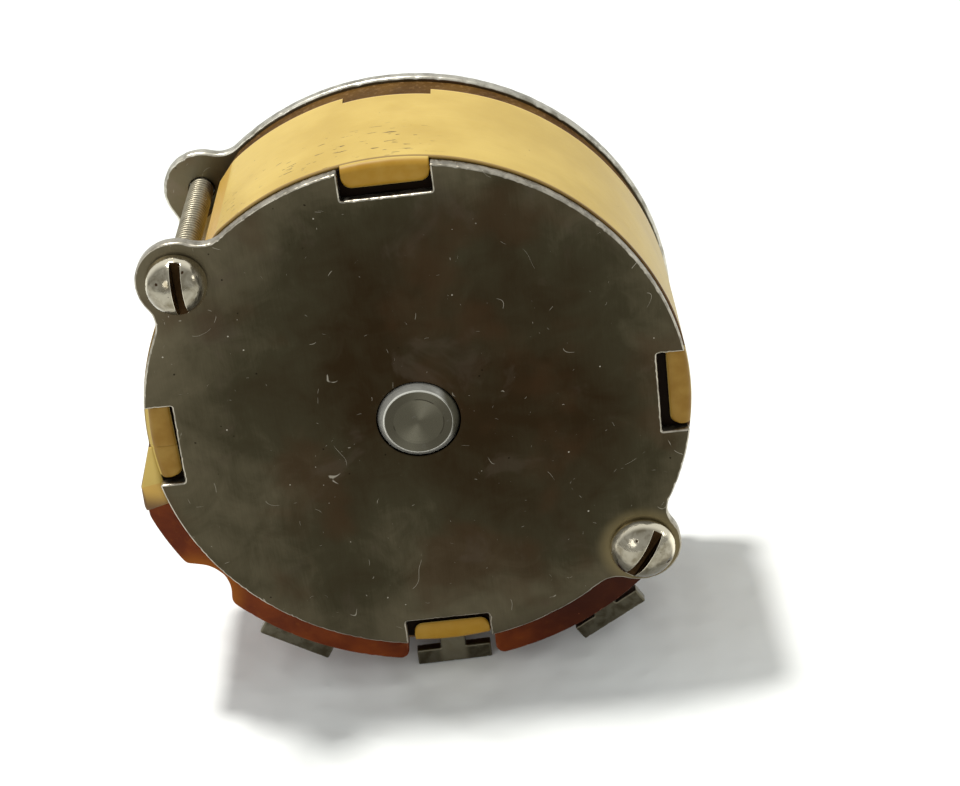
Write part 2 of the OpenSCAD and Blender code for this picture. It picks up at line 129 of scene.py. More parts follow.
BLOCK_HOLLOW = (24.6, 216.0, 2.75)  # distance and bearing of its centre, radius
SCREW_ROOM_R = 2.9
TERMINAL_REAR = 16.55
TERMINAL_T = 0.9
TAIL_R = 17.2
NECK_W = 2.1
BAR_W = 6.2
BAR_H = 1.4
TWIST_FROM = 21.6
SCREW_R = 1.0
HEAD_SIDE = 0.45
HEAD_SLOT_W = 0.76
SHAFT_R = 3.175
SHAFT_FRONT = -22.2
SHAFT_REAR = DEPTH + 0.4
SHAFT_HOLE_R = 3.25
SHAFT_FACE_R = 2.70
BUSHING_BORE_R = 3.2
KEY_R = 13.5
STAKE_R = 11.5
BUSHING_R = 4.7625
BUSHING_FRONT = -9.525
SNAP_R = 4.5
SNAP_INNER_R = 2.77
SNAP_GAP = 2.0
SNAP_FRONT = -10.275
SNAP_REAR = -9.625

# Camera: place in the shared frame in metres, angles in degrees
CAMERA_AT = (0.01006, -0.15187, 0.07285)
CAMERA_PAN = 2.2024
CAMERA_DOWN = 28.151
CAMERA_ROLL = -7.2168
LENS_MM = 73.915

STEP = 0.13  # spacing of the points along an outline
ROWS_PER_TURN = 14  # rows of points in one turn of a thread
THREAD_FLAT = 0.12  # share of a thread's crest and root that is flat
EDGE_SUPPORT = 0.06  # width of the strip of faces beside a rounded edge


# ---------------------------------------------------------------- outlines

def polar(radius, degrees):
    """Point or points at a distance and direction from the shaft axis."""
    a = np.radians(np.asarray(degrees, float))
    return np.stack([radius * np.cos(a), radius * np.sin(a)], axis=-1)


def arc(centre, radius, start, end, step=STEP):
    """Points along an arc about a centre, both ends included."""
    count = max(3, int(abs(math.radians(end - start)) * radius / step) + 1)
    return np.asarray(centre, float) + polar(radius, np.linspace(start, end, count))


def circle(radius, centre=(0.0, 0.0), count=96):
    """Points round a circle."""
    return np.asarray(centre) + polar(radius, np.linspace(0, 360, count, endpoint=False))


def box(half_width, low, high, step):
    """Closed rectangle about the Y axis, with evenly spaced points."""
    return even(np.array([(-half_width, low), (half_width, low), (half_width, high),
                          (-half_width, high)]), step)


def segment(a, b, step=STEP):
    """Points along a straight line, both ends included."""
    a, b = np.asarray(a, float), np.asarray(b, float)
    count = max(2, int(np.linalg.norm(b - a) / step) + 1)
    return a + np.linspace(0, 1, count)[:, None] * (b - a)


def joined(*parts):
    """One path from several, without the points that repeat where they meet."""
    points = np.vstack(parts)
    gap = np.linalg.norm(points - np.roll(points, 1, axis=0), axis=1)
    return points[gap > 1e-4]


def even(path, step=STEP):
    """A closed path again, with its points evenly spaced."""
    loop = np.vstack([path, path[:1]])
    along = np.concatenate([[0], np.cumsum(np.linalg.norm(np.diff(loop, axis=0), axis=1))])
    at = np.linspace(0, along[-1], int(along[-1] / step) + 1)[:-1]
    return np.stack([np.interp(at, along, loop[:, k]) for k in (0, 1)], axis=1)


def soften(path, times, closed=True):
    """Rounds the corners of a finely spaced path a little."""
    for _ in range(times):
        smooth = (np.roll(path, 1, axis=0) + 2 * path + np.roll(path, -1, axis=0)) / 4
        if not closed:
            smooth[0], smooth[-1] = path[0], path[-1]
        path = smooth
    return path


def normals(path, closed=True):
    """Unit vectors to the left of a path, which is into a counter-clockwise outline."""
    if closed:
        along = np.roll(path, -1, axis=0) - np.roll(path, 1, axis=0)
    else:
        along = np.gradient(path, axis=0)
    left = np.stack([-along[:, 1], along[:, 0]], axis=1)
    return left / np.linalg.norm(left, axis=1)[:, None]


def turned(path, degrees):
    """A path turned about the shaft axis."""
    c, s = math.cos(math.radians(degrees)), math.sin(math.radians(degrees))
    return np.asarray(path, float) @ np.array([[c, s], [-s, c]])


def turn_from(bearing, degrees):
    """Turn from a bearing to an angle or angles, in degrees from -180 to 180."""
    return (np.asarray(degrees, float) - bearing + 180) % 360 - 180


def near_side(degrees, centre_r, centre_angle, radius):
    """Distance from the axis to the near side of a round hollow, or far away beside it."""
    d = np.radians(turn_from(centre_angle, degrees))
    inside = radius ** 2 - (centre_r * np.sin(d)) ** 2
    return np.where((np.abs(d) < 1) & (inside > 0),
                    centre_r * np.cos(d) - np.sqrt(np.maximum(inside, 0)), 1e3)


def groove_radius(degrees, depth):
    """Distance from the axis to the flat and the round hollow that make room for a tie screw."""
    best = np.full(np.shape(degrees), 1e3)
    for ear in EAR_ANGLES:
        d = np.radians(turn_from(ear, degrees))
        flat = np.where(np.abs(d) < 0.4, (GROOVE_FLAT - depth) / np.cos(np.clip(d, -0.5, 0.5)), 1e3)
        hollow = near_side(degrees, GROOVE_CENTRE_R, ear, GROOVE_R + depth)
        best = np.minimum(best, np.minimum(flat, hollow))
    return best


def plate_radius(degrees, rim):
    """Distance from the axis to the rim of an end plate, ears and their hollow curves included."""
    a, b = rim + EAR_FILLET_R, EAR_R + EAR_FILLET_R
    side = math.acos((a * a + EAR_CENTRE_R ** 2 - b * b) / (2 * a * EAR_CENTRE_R))
    fillet = np.array([a * math.cos(side), a * math.sin(side)])
    ear = np.array([EAR_CENTRE_R, 0])
    touch = ear + (fillet - ear) * EAR_R / b
    touch_angle = math.atan2(touch[1], touch[0])
    radius = np.full(np.shape(degrees), rim)
    for angle in EAR_ANGLES:
        d = np.abs(np.radians(turn_from(angle, degrees)))
        lobe = EAR_CENTRE_R * np.cos(d) + np.sqrt(
            np.maximum(EAR_R ** 2 - (EAR_CENTRE_R * np.sin(d)) ** 2, 0))
        e = side - d
        hollow = a * np.cos(e) - np.sqrt(np.maximum(EAR_FILLET_R ** 2 - (a * np.sin(e)) ** 2, 0))
        radius = np.where(d < touch_angle, lobe, np.where(d < side, hollow, radius))
    return radius


def plate_outline(notched):
    """Closed outline of an end plate, with or without the four notches."""
    if not notched:
        angles = np.arange(0, 360, 0.2)
        return soften(even(polar(plate_radius(angles, FRONT_PLATE_R), angles)), 2)
    parts = []
    half = math.degrees(math.asin(NOTCH_W / 2 / PLATE_R))
    mouth = math.sqrt(PLATE_R ** 2 - NOTCH_W ** 2 / 4)
    for notch in NOTCH_ANGLES:
        lean = 0.2 if notch == 180.0 else 0.0
        corners = [(mouth, -NOTCH_W / 2), (NOTCH_FLOOR, -NOTCH_W / 2),
                   (NOTCH_FLOOR + lean, NOTCH_W / 2), (mouth, NOTCH_W / 2)]
        for a, b in zip(corners, corners[1:]):
            parts.append(turned(segment(a, b), notch))
        angles = np.arange(notch + half, notch + 90 - half, 0.2)
        parts.append(polar(plate_radius(angles, PLATE_R), angles))
    return soften(even(joined(*parts), 0.09), 3)


def nicks(count, seed, share, depth):
    """Small dents along a path: how far each point is pushed in."""
    rng = np.random.default_rng(seed)
    push = np.zeros(count)
    at = np.arange(count)
    for centre in rng.integers(0, count, int(count * share)):
        width = rng.uniform(0.8, 2.6)
        away = np.minimum(np.abs(at - centre), count - np.abs(at - centre))
        push += rng.uniform(0.2, 1.0) * depth * np.exp(-(away / width) ** 2)
    return push


# ---------------------------------------------------------------- meshes

def row(points):
    """Drawing frame in millimetres to the shared frame in metres."""
    p = np.asarray(points, float).reshape(-1, 3)
    return np.stack([p[:, 0], -p[:, 2], p[:, 1]], axis=1) / 1000


class Shape:
    """Collects the faces of one piece.

    Each point carries a value: high on rounded edges, which rub bright, and where a highlight or reflection is
    painted; 0 elsewhere; negative where shade is painted or a dent is darker.
    """

    def __init__(self):
        self.points, self.faces, self.wear_and_light = [], [], []

    def add(self, points, wear_and_light=0.0):
        first = len(self.points)
        self.points.extend(np.asarray(points, float).tolist())
        self.wear_and_light.extend(np.broadcast_to(wear_and_light, len(points)).tolist())
        return list(range(first, len(self.points)))

    def ring(self, path, z, wear_and_light=0.0):
        """Points of a flat path, all at one height."""
        return self.add(np.column_stack([path, np.full(len(path), z)]), wear_and_light)

    def bridge(self, a, b, closed=True):
        n = len(a)
        for i in range(n if closed else n - 1):
            j = (i + 1) % n
            self.faces.append((a[i], a[j], b[j], b[i]))

    def strip(self, rings, closed=True):
        for a, b in zip(rings, rings[1:]):
            self.bridge(a, b, closed)

    def cap(self, *rings):
        loops = [[Vector((self.points[i][0], self.points[i][1], 0)) for i in r] for r in rings]
        flat = [i for r in rings for i in r]
        for tri in tessellate_polygon(loops):
            self.faces.append(tuple(flat[i] for i in tri))

    def build(self, name, node, material, body="root", sharp=35):
        """Makes the object, rides it on its body and hides the CAD node it stands for."""
        mesh = bpy.data.meshes.new(name)
        bm = bmesh.new()
        layer = bm.verts.layers.float.new("wear_and_light")
        verts = [bm.verts.new(p) for p in row(self.points)]
        for v, w in zip(verts, self.wear_and_light):
            v[layer] = w
        for f in self.faces:
            if len(set(f)) == len(f) and bm.faces.get([verts[i] for i in f]) is None:
                bm.faces.new([verts[i] for i in f])
        bmesh.ops.remove_doubles(bm, verts=bm.verts, dist=2e-7)
        bmesh.ops.dissolve_degenerate(bm, edges=bm.edges, dist=1e-7)
        bmesh.ops.recalc_face_normals(bm, faces=bm.faces)
        bm.to_mesh(mesh)
        bm.free()
        mesh.shade_smooth()
        mesh.set_sharp_from_angle(angle=math.radians(sharp))
        piece = bpy.data.objects.new(name, mesh)
        bpy.context.scene.collection.objects.link(piece)
        mesh.materials.append(material)
        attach(piece, body)
        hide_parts(node)
        return piece


def edge_profile(z0, z1, r0, r1, segments=4):
    """(inset, height, edge value) down the side of a slab with rounded edges of radius r0 and r1."""
    def edge(r, z, way):
        turns = [math.pi / 2 * k / segments for k in range(segments + 1)]
        round_part = [(r * (1 - math.sin(a)), z + way * r * (1 - math.cos(a)), 1.0 if a else 0.7)
                      for a in turns]
        return [(r + EDGE_SUPPORT, z, 0.0)] + round_part if r > 0 else [(0.0, z, 0.0)]

    return edge(r0, z0, 1) + edge(r1, z1, -1)[::-1]


def wall(shape, path, profile, into=1.0, push=None):
    """Rings of points down the side of an outline. into is -1 for a hole."""
    n = normals(path) * into
    rings = []
    for inset, z, wear_and_light in profile:
        d = inset + (0 if push is None else push * (1 if inset > 0 else 0.25))
        p = path + n * np.broadcast_to(d, len(path))[:, None]
        rings.append(shape.ring(p, z, wear_and_light))
    shape.strip(rings)
    return rings


def slab(shape, outer, holes, z0, z1, r0, r1, hole_edge=0.08, push=None):
    """A plate with rounded edges and holes."""
    sides = [wall(shape, outer, edge_profile(z0, z1, r0, r1), push=push)]
    inside = [(inset, z, 0.4 * wear_and_light) for inset, z, wear_and_light in edge_profile(z0, z1, hole_edge,
                                                                        hole_edge, 2)]
    for hole in holes:
        sides.append(wall(shape, hole, inside, into=-1.0))
    shape.cap(*[s[0] for s in sides])
    shape.cap(*[s[-1] for s in sides])


def lathe(shape, profile, segments=96, wear_and_light=None):
    """A turned piece: profile is (radius, height) from one end of the axis to the other."""
    rings = []
    for k, (r, z) in enumerate(profile):
        path = circle(r, count=segments) if r > 0 else np.zeros((1, 2))
        rings.append(shape.ring(path, z, 0.0 if wear_and_light is None else wear_and_light[k]))
    for a, b in zip(rings, rings[1:]):
        if len(a) == 1:
            shape.faces.extend((a[0], b[i], b[(i + 1) % segments]) for i in range(segments))
        elif len(b) == 1:
            shape.faces.extend((a[i], a[(i + 1) % segments], b[0]) for i in range(segments))
        else:
            shape.bridge(a, b)


def thread_profile(phase):
    """0 on the crest of a thread and 1 in its root."""
    p = np.abs((phase % 1.0) - 0.5) * 2
    return np.clip((p - THREAD_FLAT) / (1 - 2 * THREAD_FLAT), 0, 1)


def threaded_rod(shape, centre, radius, depth, pitch, z0, z1, segments, runout, darkening=1.0):
    """A rod with a helical thread that runs out smoothly at both ends. Its crests get a high value and, with
    darkening above 1, its roots a negative one: painted highlight and painted shade.
    """
    angles = np.linspace(0, 360, segments, endpoint=False)
    rings = []
    for z in np.linspace(z0, z1, int((z1 - z0) / pitch * ROWS_PER_TURN)):
        fade = np.clip(min(z - z0, z1 - z) / runout, 0, 1)
        groove = thread_profile(z / pitch - angles / 360)
        p = np.asarray(centre) + polar(radius - depth * fade * groove, angles)
        rings.append(shape.ring(p, z, 1 - darkening * groove))
    shape.strip(rings)
    return rings


# ---------------------------------------------------------------- materials

class Graph:
    """One node material around a Principled shader."""

    def __init__(self, name, metallic=0.0, gloss=0.5):
        self.material = bpy.data.materials.new(name)
        self.material.use_nodes = True
        self.tree = self.material.node_tree
        self.tree.nodes.clear()
        self.shader = self.tree.nodes.new("ShaderNodeBsdfPrincipled")
        out = self.tree.nodes.new("ShaderNodeOutputMaterial")
        self.tree.links.new(self.shader.outputs["BSDF"], out.inputs["Surface"])
        self.shader.inputs["Metallic"].default_value = metallic
        self.shader.inputs["Specular IOR Level"].default_value = gloss
        coord = self.tree.nodes.new("ShaderNodeTexCoord")
        self.place = self.node("ShaderNodeVectorMath", {0: coord.outputs["Object"],
                                                        1: (1000, 1000, 1000)},
                               operation="MULTIPLY").outputs[0]

    def node(self, kind, inputs, **settings):
        n = self.tree.nodes.new(kind)
        for key, value in settings.items():
            setattr(n, key, value)
        for key, value in inputs.items():
            self.feed(n.inputs[key], value)
        return n

    def feed(self, socket, value):
        if isinstance(value, bpy.types.NodeSocket):
            self.tree.links.new(value, socket)
        else:
            socket.default_value = value

    def math(self, operation, a, b=0.0):
        return self.node("ShaderNodeMath", {0: a, 1: b}, operation=operation).outputs[0]

    def plus(self, a, *others):
        for b in others:
            a = self.math("ADD", a, b)
        return a

    def minus(self, a, b):
        return self.math("SUBTRACT", a, b)

    def times(self, a, b):
        return self.math("MULTIPLY", a, b)

    def most(self, a, b):
        return self.math("MAXIMUM", a, b)

    def absolute(self, a):
        return self.math("ABSOLUTE", a)

    def between(self, value, low, high, smooth=True):
        """0 below low, 1 above high."""
        return self.node("ShaderNodeMapRange", {"Value": value, "From Min": low, "From Max": high},
                         interpolation_type="SMOOTHSTEP" if smooth else "LINEAR").outputs[0]

    def below(self, value, low, high):
        """1 below low, 0 above high."""
        return self.minus(1.0, self.between(value, low, high))

    def window(self, value, a, b, c, d):
        """1 from b to c, 0 below a and above d."""
        return self.times(self.between(value, a, b), self.below(value, c, d))

    def near(self, value, middle, inner, outer):
        """1 within `inner` of a middle value, 0 beyond `outer`."""
        return self.below(self.absolute(self.minus(value, middle)), inner, outer)

    def scale(self, value, low, high):
        """A 0 to 1 value spread over another range."""
        return self.node("ShaderNodeMapRange", {"Value": value, "To Min": low,
                                                "To Max": high}).outputs[0]

    def stretch(self, scale, vector=None):
        return self.node("ShaderNodeMapping", {"Vector": vector or self.place,
                                               "Scale": scale}).outputs[0]

    def noise(self, scale, detail=3.0, rough=0.5, vector=None, distortion=0.0):
        """Noise with about `scale` cells a millimetre."""
        return self.node("ShaderNodeTexNoise", {
            "Vector": vector or self.place, "Scale": scale, "Detail": detail,
            "Roughness": rough, "Distortion": distortion}).outputs["Fac"]

    def cells(self, scale, vector=None, feature="F1"):
        return self.node("ShaderNodeTexVoronoi", {"Vector": vector or self.place,
                                                  "Scale": scale}, feature=feature
                         ).outputs["Distance"]

    def mix(self, factor, a, b):
        n = self.node("ShaderNodeMix", {}, data_type="RGBA")
        self.feed(n.inputs[0], factor)
        for socket, colour in ((n.inputs[6], a), (n.inputs[7], b)):
            self.feed(socket, (*colour, 1.0) if isinstance(colour, tuple) else colour)
        return n.outputs[2]

    def coat(self, colour, tint, factor, strength):
        """A tint over a colour, at most as thick as strength."""
        return self.mix(self.times(factor, strength), colour, tint)

    def wear_and_glint(self, low, high):
        """1 where the mesh's per-point value is above high, 0 where it is below low: rubbed edges and painted
        highlights.
        """
        wear_and_light = self.node("ShaderNodeAttribute", {}, attribute_name="wear_and_light").outputs["Fac"]
        return self.between(wear_and_light, low, high)

    def darkened(self, low, high):
        """1 where the mesh's per-point value is below -high, 0 where it is above -low: painted shade and darker
        dents.
        """
        wear_and_light = self.node("ShaderNodeAttribute", {}, attribute_name="wear_and_light").outputs["Fac"]
        return self.between(self.times(wear_and_light, -1.0), low, high)

    def axes(self):
        """X, axial depth from the mounting face, and height, in millimetres."""
        n = self.node("ShaderNodeSeparateXYZ", {0: self.place})
        return n.outputs[0], self.times(n.outputs[1], -1.0), n.outputs[2]

    def distance(self, x, y):
        return self.math("SQRT", self.plus(self.times(x, x), self.times(y, y)))

    def cylinder(self, radius=FILM_R):
        """Vector of arc length, axial depth and distance from the axis, in millimetres."""
        x, depth, y = self.axes()
        arc_length = self.times(self.math("ARCTAN2", y, x), radius)
        return self.node("ShaderNodeCombineXYZ", {0: arc_length, 1: depth,
                                                  2: self.distance(x, y)}).outputs[0]

    def spot(self, centre, inner, outer):
        """1 within `inner` millimetres of a point of the drawing frame, 0 beyond `outer`."""
        x, _, y = self.axes()
        away = self.distance(self.minus(x, centre[0]), self.minus(y, centre[1]))
        return self.below(away, inner, outer)

    def done(self, colour, roughness, *bumps):
        """Feeds the shader. Each bump is its height and its depth in millimetres."""
        self.feed(self.shader.inputs["Base Color"], colour)
        self.feed(self.shader.inputs["Roughness"], roughness)
        below = {}
        for height, depth in bumps:
            bump = self.node("ShaderNodeBump", {"Height": height, "Distance": depth / 1000, **below})
            below = {"Normal": bump.outputs[0]}
        self.feed(self.shader.inputs["Normal"], below["Normal"])
        return self.material


def shade(colour, *factors):
    """A colour times one factor, or times one for each channel."""
    return tuple(min(1.0, c * f) for c, f in zip(colour, factors * (3 // len(factors))))


def scratches(g, scale, width, seed, keep=0.60):
    """Short curved scratches: stretches of the contour lines of a smooth noise."""
    m = g.node("ShaderNodeMapping", {"Vector": g.place, "Location": (seed, seed, 0)}).outputs[0]
    line = g.near(g.noise(scale, 1, 0.4, m), 0.5, width * 0.4, width)
    return g.times(line, g.between(g.noise(scale * 3.1, 2, 0.5, m), keep, keep + 0.05))


def chips(g, scale, size, patch=0.54):
    """Sparse irregular specks, gathered in patches."""
    ragged = g.times(g.minus(g.noise(5.0, 3, 0.6), 0.5), 0.10)
    speck = g.below(g.plus(g.cells(scale), ragged), size * 0.6, size)
    return g.times(speck, g.between(g.noise(0.17, 2), patch, patch + 0.05))


def plate_metal(name, dark, middle, light, rub_and_glint, roughness):
    """Dull nickel sheet: cloudy tarnish, faint grain, a few scratches, specks, rubbed edges that also carry a
    painted highlight, and a painted reflection that is darker in the middle and lighter towards the rim.
    """
    g = Graph(name, metallic=1.0)
    grain = g.noise(1.0, 4, 0.6, g.stretch((8.0, 8.0, 0.5)))
    cloud = g.noise(0.075, 4, 0.55, distortion=0.5)
    smudge = g.noise(0.30, 5, 0.6, distortion=1.0)
    # Painted reflection: darker in the middle and towards the upper right, lighter towards the rim
    radius = g.node("ShaderNodeSeparateXYZ", {0: g.cylinder()}).outputs[2]
    rim = g.between(radius, 14.0, 22.5)
    centre = g.spot((5.0, 5.0), 3.0, 24.0)
    tone = g.plus(g.times(cloud, 0.85), g.times(centre, -0.34), g.times(rim, 0.16),
                  g.times(g.minus(smudge, 0.5), 0.40), g.times(g.minus(grain, 0.5), 0.10))
    colour = g.mix(g.between(tone, 0.02, 0.34, smooth=False), dark, middle)
    colour = g.mix(g.between(tone, 0.34, 0.78, smooth=False), colour, light)
    # Brown-red and grey-violet tarnish
    colour = g.coat(colour, shade(middle, 1.15, 0.72, 0.62),
                    g.between(g.noise(0.12), 0.52, 0.66), 0.5)
    colour = g.coat(colour, shade(middle, 1.75, 1.55, 2.00),
                    g.between(g.noise(0.19, 4, 0.6, distortion=0.8), 0.56, 0.70), 0.30)
    marks = g.most(scratches(g, 0.23, 0.0022, 0.0), scratches(g, 0.55, 0.004, 31.0, 0.66))
    marks = g.most(g.times(marks, 0.6), chips(g, 0.8, 0.055))
    colour = g.coat(colour, shade(dark, 0.3), chips(g, 0.55, 0.05, 0.50), 0.8)
    colour = g.coat(colour, rub_and_glint, marks, 0.7)
    # Lighter round the lower screw's head
    halo = g.spot(polar(SCREW_CIRCLE_R, EAR_ANGLES[1]), 2.6, 3.9)
    colour = g.coat(colour, (0.20, 0.155, 0.075), halo, 0.50)
    # Rubbed edges, lighter in patches, partly a painted highlight
    patchy = g.between(g.noise(0.8, 4, 0.65), 0.30, 0.62)
    colour = g.mix(g.times(g.wear_and_glint(0.6, 1.0), g.scale(patchy, 0.35, 1.0)), colour, rub_and_glint)
    rough = g.plus(roughness - 0.08, g.times(smudge, 0.16))
    return g.done(colour, rough, (grain, 0.004), (smudge, 0.010), (g.noise(0.13, 2), 0.05),
                  (marks, 0.010))


def turned_metal(name, dark, light, roughness, pitch=0.11, depth=0.004):
    """Lathe-turned metal with rings about the shaft axis; its end is painted dark as a dim reflection, with a
    painted bow-tie highlight.
    """
    g = Graph(name, metallic=1.0)
    rings = g.noise(1.0 / pitch, 2, 0.7, g.stretch((0.02, 0.6, 1.0), g.cylinder()))
    fine = g.noise(4.0, 3, 0.6)
    tone = g.plus(g.times(rings, 0.55), g.times(g.noise(0.35, 4, 0.6), 0.6))
    colour = g.mix(g.between(tone, 0.35, 0.85, smooth=False), dark, light)
    x, _, y = g.axes()
    away = g.distance(x, y)
    # Painted reflection on the end: a dark colour with a bow-tie highlight
    lean = g.plus(g.times(x, 0.42), g.times(y, 0.91))
    bow = g.math("DIVIDE", g.times(lean, lean), g.plus(g.times(away, away), 0.02))
    sheen = g.mix(g.math("POWER", bow, 3.0), (0.070, 0.064, 0.046), (0.135, 0.125, 0.094))
    sheen = g.coat(sheen, (0.045, 0.041, 0.030), rings, 0.30)
    # The end has a dull outer ring with a scored line inside it
    score = g.times(g.near(away, 1.95, 0.02, 0.07), g.between(g.noise(0.6, 2), 0.46, 0.56))
    dull = g.most(g.times(g.between(away, 1.85, 2.0), 0.35), score)
    sheen = g.mix(dull, sheen, (0.035, 0.031, 0.022))
    # The chamfer has a painted highlight along its inner edge and painted shade on its right
    chamfer = g.wear_and_glint(0.3, 0.7)
    rim = g.times(g.near(away, 2.70, 0.02, 0.06), chamfer)
    colour = g.coat(colour, shade(light, 1.9), rim, 0.8)
    right = g.between(g.plus(g.times(x, 0.99), g.times(y, 0.10)), 1.9, 2.6)
    colour = g.coat(colour, (0.070, 0.064, 0.042), g.times(chamfer, right), 0.96)
    colour = g.mix(g.darkened(0.5, 0.95), colour, sheen)
    dark_patch = g.between(g.noise(0.8, 4, 0.7), 0.60, 0.72)
    colour = g.coat(colour, shade(dark, 0.45), dark_patch, 0.30)
    rough = g.plus(roughness - 0.08, g.times(fine, 0.16), g.times(chamfer, 0.22))
    return g.done(colour, rough, (rings, depth), (fine, 0.002))


def plated_metal(name, dark, light, roughness, pit=0.5, tinned=False, polish_and_glint=1.5):
    """Plating with soft blotches and pits; polished edges and painted highlights lighten it where the per-point
    value is high, and painted shade and darker dents darken it where it is below 0.
    """
    g = Graph(name, metallic=1.0)
    blotch = g.noise(0.9, 4, 0.6, distortion=0.5)
    fine = g.noise(6.0, 3, 0.6)
    pits = g.times(g.below(g.cells(2.2), 0.06, 0.12), g.between(g.noise(0.7, 2), 0.55, 0.62))
    colour = g.mix(g.between(blotch, 0.32, 0.66), dark, light)
    if tinned:
        # Solder left on the neck of the centre terminal
        neck = g.near(g.axes()[0], 0.0, 0.8, 1.4)
        colour = g.coat(colour, shade(light, 2.2), neck, 0.6)
    colour = g.coat(colour, shade(dark, 0.25), pits, pit)
    # Lighter where the per-point value is high: polished edges, and painted highlights on dome rims and thread
    # crests
    colour = g.coat(colour, shade(light, polish_and_glint), g.wear_and_glint(0.3, 0.8), 0.4 * polish_and_glint)
    # Painted shade in the screw slots and thread roots, and darker dents
    darkened_hollows = g.darkened(0.15, 0.75)
    colour = g.mix(darkened_hollows, colour, g.mix(fine, (0.016, 0.008, 0.003), (0.055, 0.030, 0.012)))
    rough = g.plus(roughness - 0.05, g.times(blotch, 0.12), g.times(darkened_hollows, 0.4))
    return g.done(colour, rough, (pits, -0.03), (fine, 0.003), (blotch, 0.05))


def phenolic(name, dark, light, thin, roughness, spots=(), gloss=0.14):
    """Moulded phenolic: faint mottling, machining lines, chalky scuffs; painted shade where the per-point value is
    below 0.
    """
    g = Graph(name, gloss=gloss)
    mottle = g.noise(0.30, 4, 0.55, distortion=0.4)
    fibre = g.noise(1.0, 4, 0.6, g.stretch((1.2, 5.0, 2.0), g.cylinder()))
    colour = g.mix(g.between(mottle, 0.30, 0.70), dark, light)
    colour = g.coat(colour, thin, g.between(fibre, 0.5, 0.75), 0.15)
    for centre, inner, outer, tint in spots:
        colour = g.coat(colour, tint, g.spot(centre, inner, outer), 0.75)
    grit = g.times(g.below(g.cells(1.6), 0.05, 0.10), g.between(g.noise(0.5, 2), 0.56, 0.64))
    scuff = g.times(g.between(g.noise(2.6, 4, 0.7), 0.50, 0.70), g.wear_and_glint(0.5, 1.0))
    chalk = tuple(min(1.0, c * 2.2 + 0.05) for c in light)
    colour = g.coat(colour, chalk, g.most(scuff, grit), 0.45)
    # Near black as painted shade
    colour = g.coat(colour, (0.004, 0.002, 0.001), g.darkened(0.3, 0.9), 0.97)
    rough = g.plus(roughness - 0.08, g.times(mottle, 0.2))
    return g.done(colour, rough, (fibre, 0.008), (g.noise(1.1), 0.02))


def film_material():
    """Yellow insulating film: satin, with streaks round the body, grime specks and short dashes, painted highlights
    on its pale edges and painted shade on its tabs, flats and rear edge.
    """
    g = Graph("yellow_film", gloss=0.30)
    cyl = g.cylinder()
    arc_mm, depth, _ = g.node("ShaderNodeSeparateXYZ", {0: cyl}).outputs
    cloud = g.noise(0.14, 4, 0.55)
    streak = g.noise(1.0, 4, 0.6, g.stretch((0.08, 5.5, 0.0), cyl))
    colour = g.mix(g.between(cloud, 0.3, 0.7), (0.440, 0.300, 0.060), (0.530, 0.380, 0.095))
    colour = g.coat(colour, (0.450, 0.290, 0.065), g.between(streak, 0.45, 0.75), 0.30)
    # Pale folds and tab edges, a painted highlight, and the brown front edge
    brown = g.wear_and_glint(0.72, 0.95)
    pale = g.times(g.wear_and_glint(0.15, 0.5), g.minus(1.0, brown))
    colour = g.coat(colour, (0.780, 0.570, 0.170), pale, 0.7)
    # Deeper gold painted as shade on the flats beside the screws and on the fold over the block
    colour = g.coat(colour, (0.470, 0.270, 0.045), g.darkened(0.2, 0.7), 0.8)
    # The folded tabs are painted a deeper mustard as shade, those at the sides the deepest
    tab = g.times(g.between(depth, 18.02, 18.35),
                  g.scale(g.between(g.noise(0.7), 0.3, 0.7), 0.85, 1.0))
    side = g.between(g.absolute(g.axes()[0]), 13.0, 19.0)
    colour = g.mix(tab, colour, g.mix(side, (0.300, 0.150, 0.002), (0.205, 0.100, 0.002)))
    colour = g.coat(colour, (0.560, 0.400, 0.130), g.times(tab, pale), 0.6)
    colour = g.coat(colour, (0.140, 0.060, 0.015), brown, 0.9)
    # A brown line painted as shade where the film meets the rear plate, fainter on the lit left
    rear = g.window(depth, 17.50, 17.66, 17.86, 17.95)
    right = g.scale(g.below(arc_mm, 3.0, 28.0), 0.70, 1.0)
    colour = g.mix(g.times(rear, right), colour, (0.120, 0.055, 0.012))
    # Grime: specks all over, dashes along the arc near the rear edge of the upper left
    dash = g.between(g.noise(1.0, 2, 0.5, g.stretch((0.75, 3.4, 0.0), cyl)), 0.655, 0.685)
    dash = g.times(dash, g.times(g.window(depth, 9.5, 13.5, 17.2, 17.9),
                                 g.window(arc_mm, 27.0, 33.0, 46.0, 51.0)))
    ragged = g.times(g.minus(g.noise(4.0, 2), 0.5), 0.08)
    speck = g.below(g.plus(g.cells(0.62, g.stretch((1, 1.4, 0), cyl)), ragged), 0.025, 0.055)
    darkening = g.most(dash, g.times(speck, g.between(g.noise(0.23, 2), 0.50, 0.56)))
    colour = g.coat(colour, (0.050, 0.026, 0.006), darkening, 0.92)
    rough = g.plus(0.33, g.times(cloud, 0.14), g.times(tab, 0.12))
    return g.done(colour, rough, (streak, 0.010), (cloud, 0.10), (darkening, 0.02))


def winding_material():
    """Fine resistance wire wound round the card: ridges across the arc, painted dark between the turns as shade and
    lighter on them as a highlight.
    """
    g = Graph("resistance_wire", metallic=1.0)
    ridges = g.node("ShaderNodeTexWave", {"Vector": g.cylinder(WINDING_R), "Scale": 1.6,
                                          "Distortion": 0.3, "Detail": 2.0},
                    wave_type="BANDS").outputs["Fac"]
    patch = g.noise(0.5, 4)
    colour = g.mix(ridges, (0.16, 0.10, 0.05), (0.55, 0.42, 0.30))
    colour = g.coat(colour, (0.30, 0.20, 0.12), patch, 0.5)
    return g.done(colour, g.scale(patch, 0.25, 0.45), (ridges, 0.05))


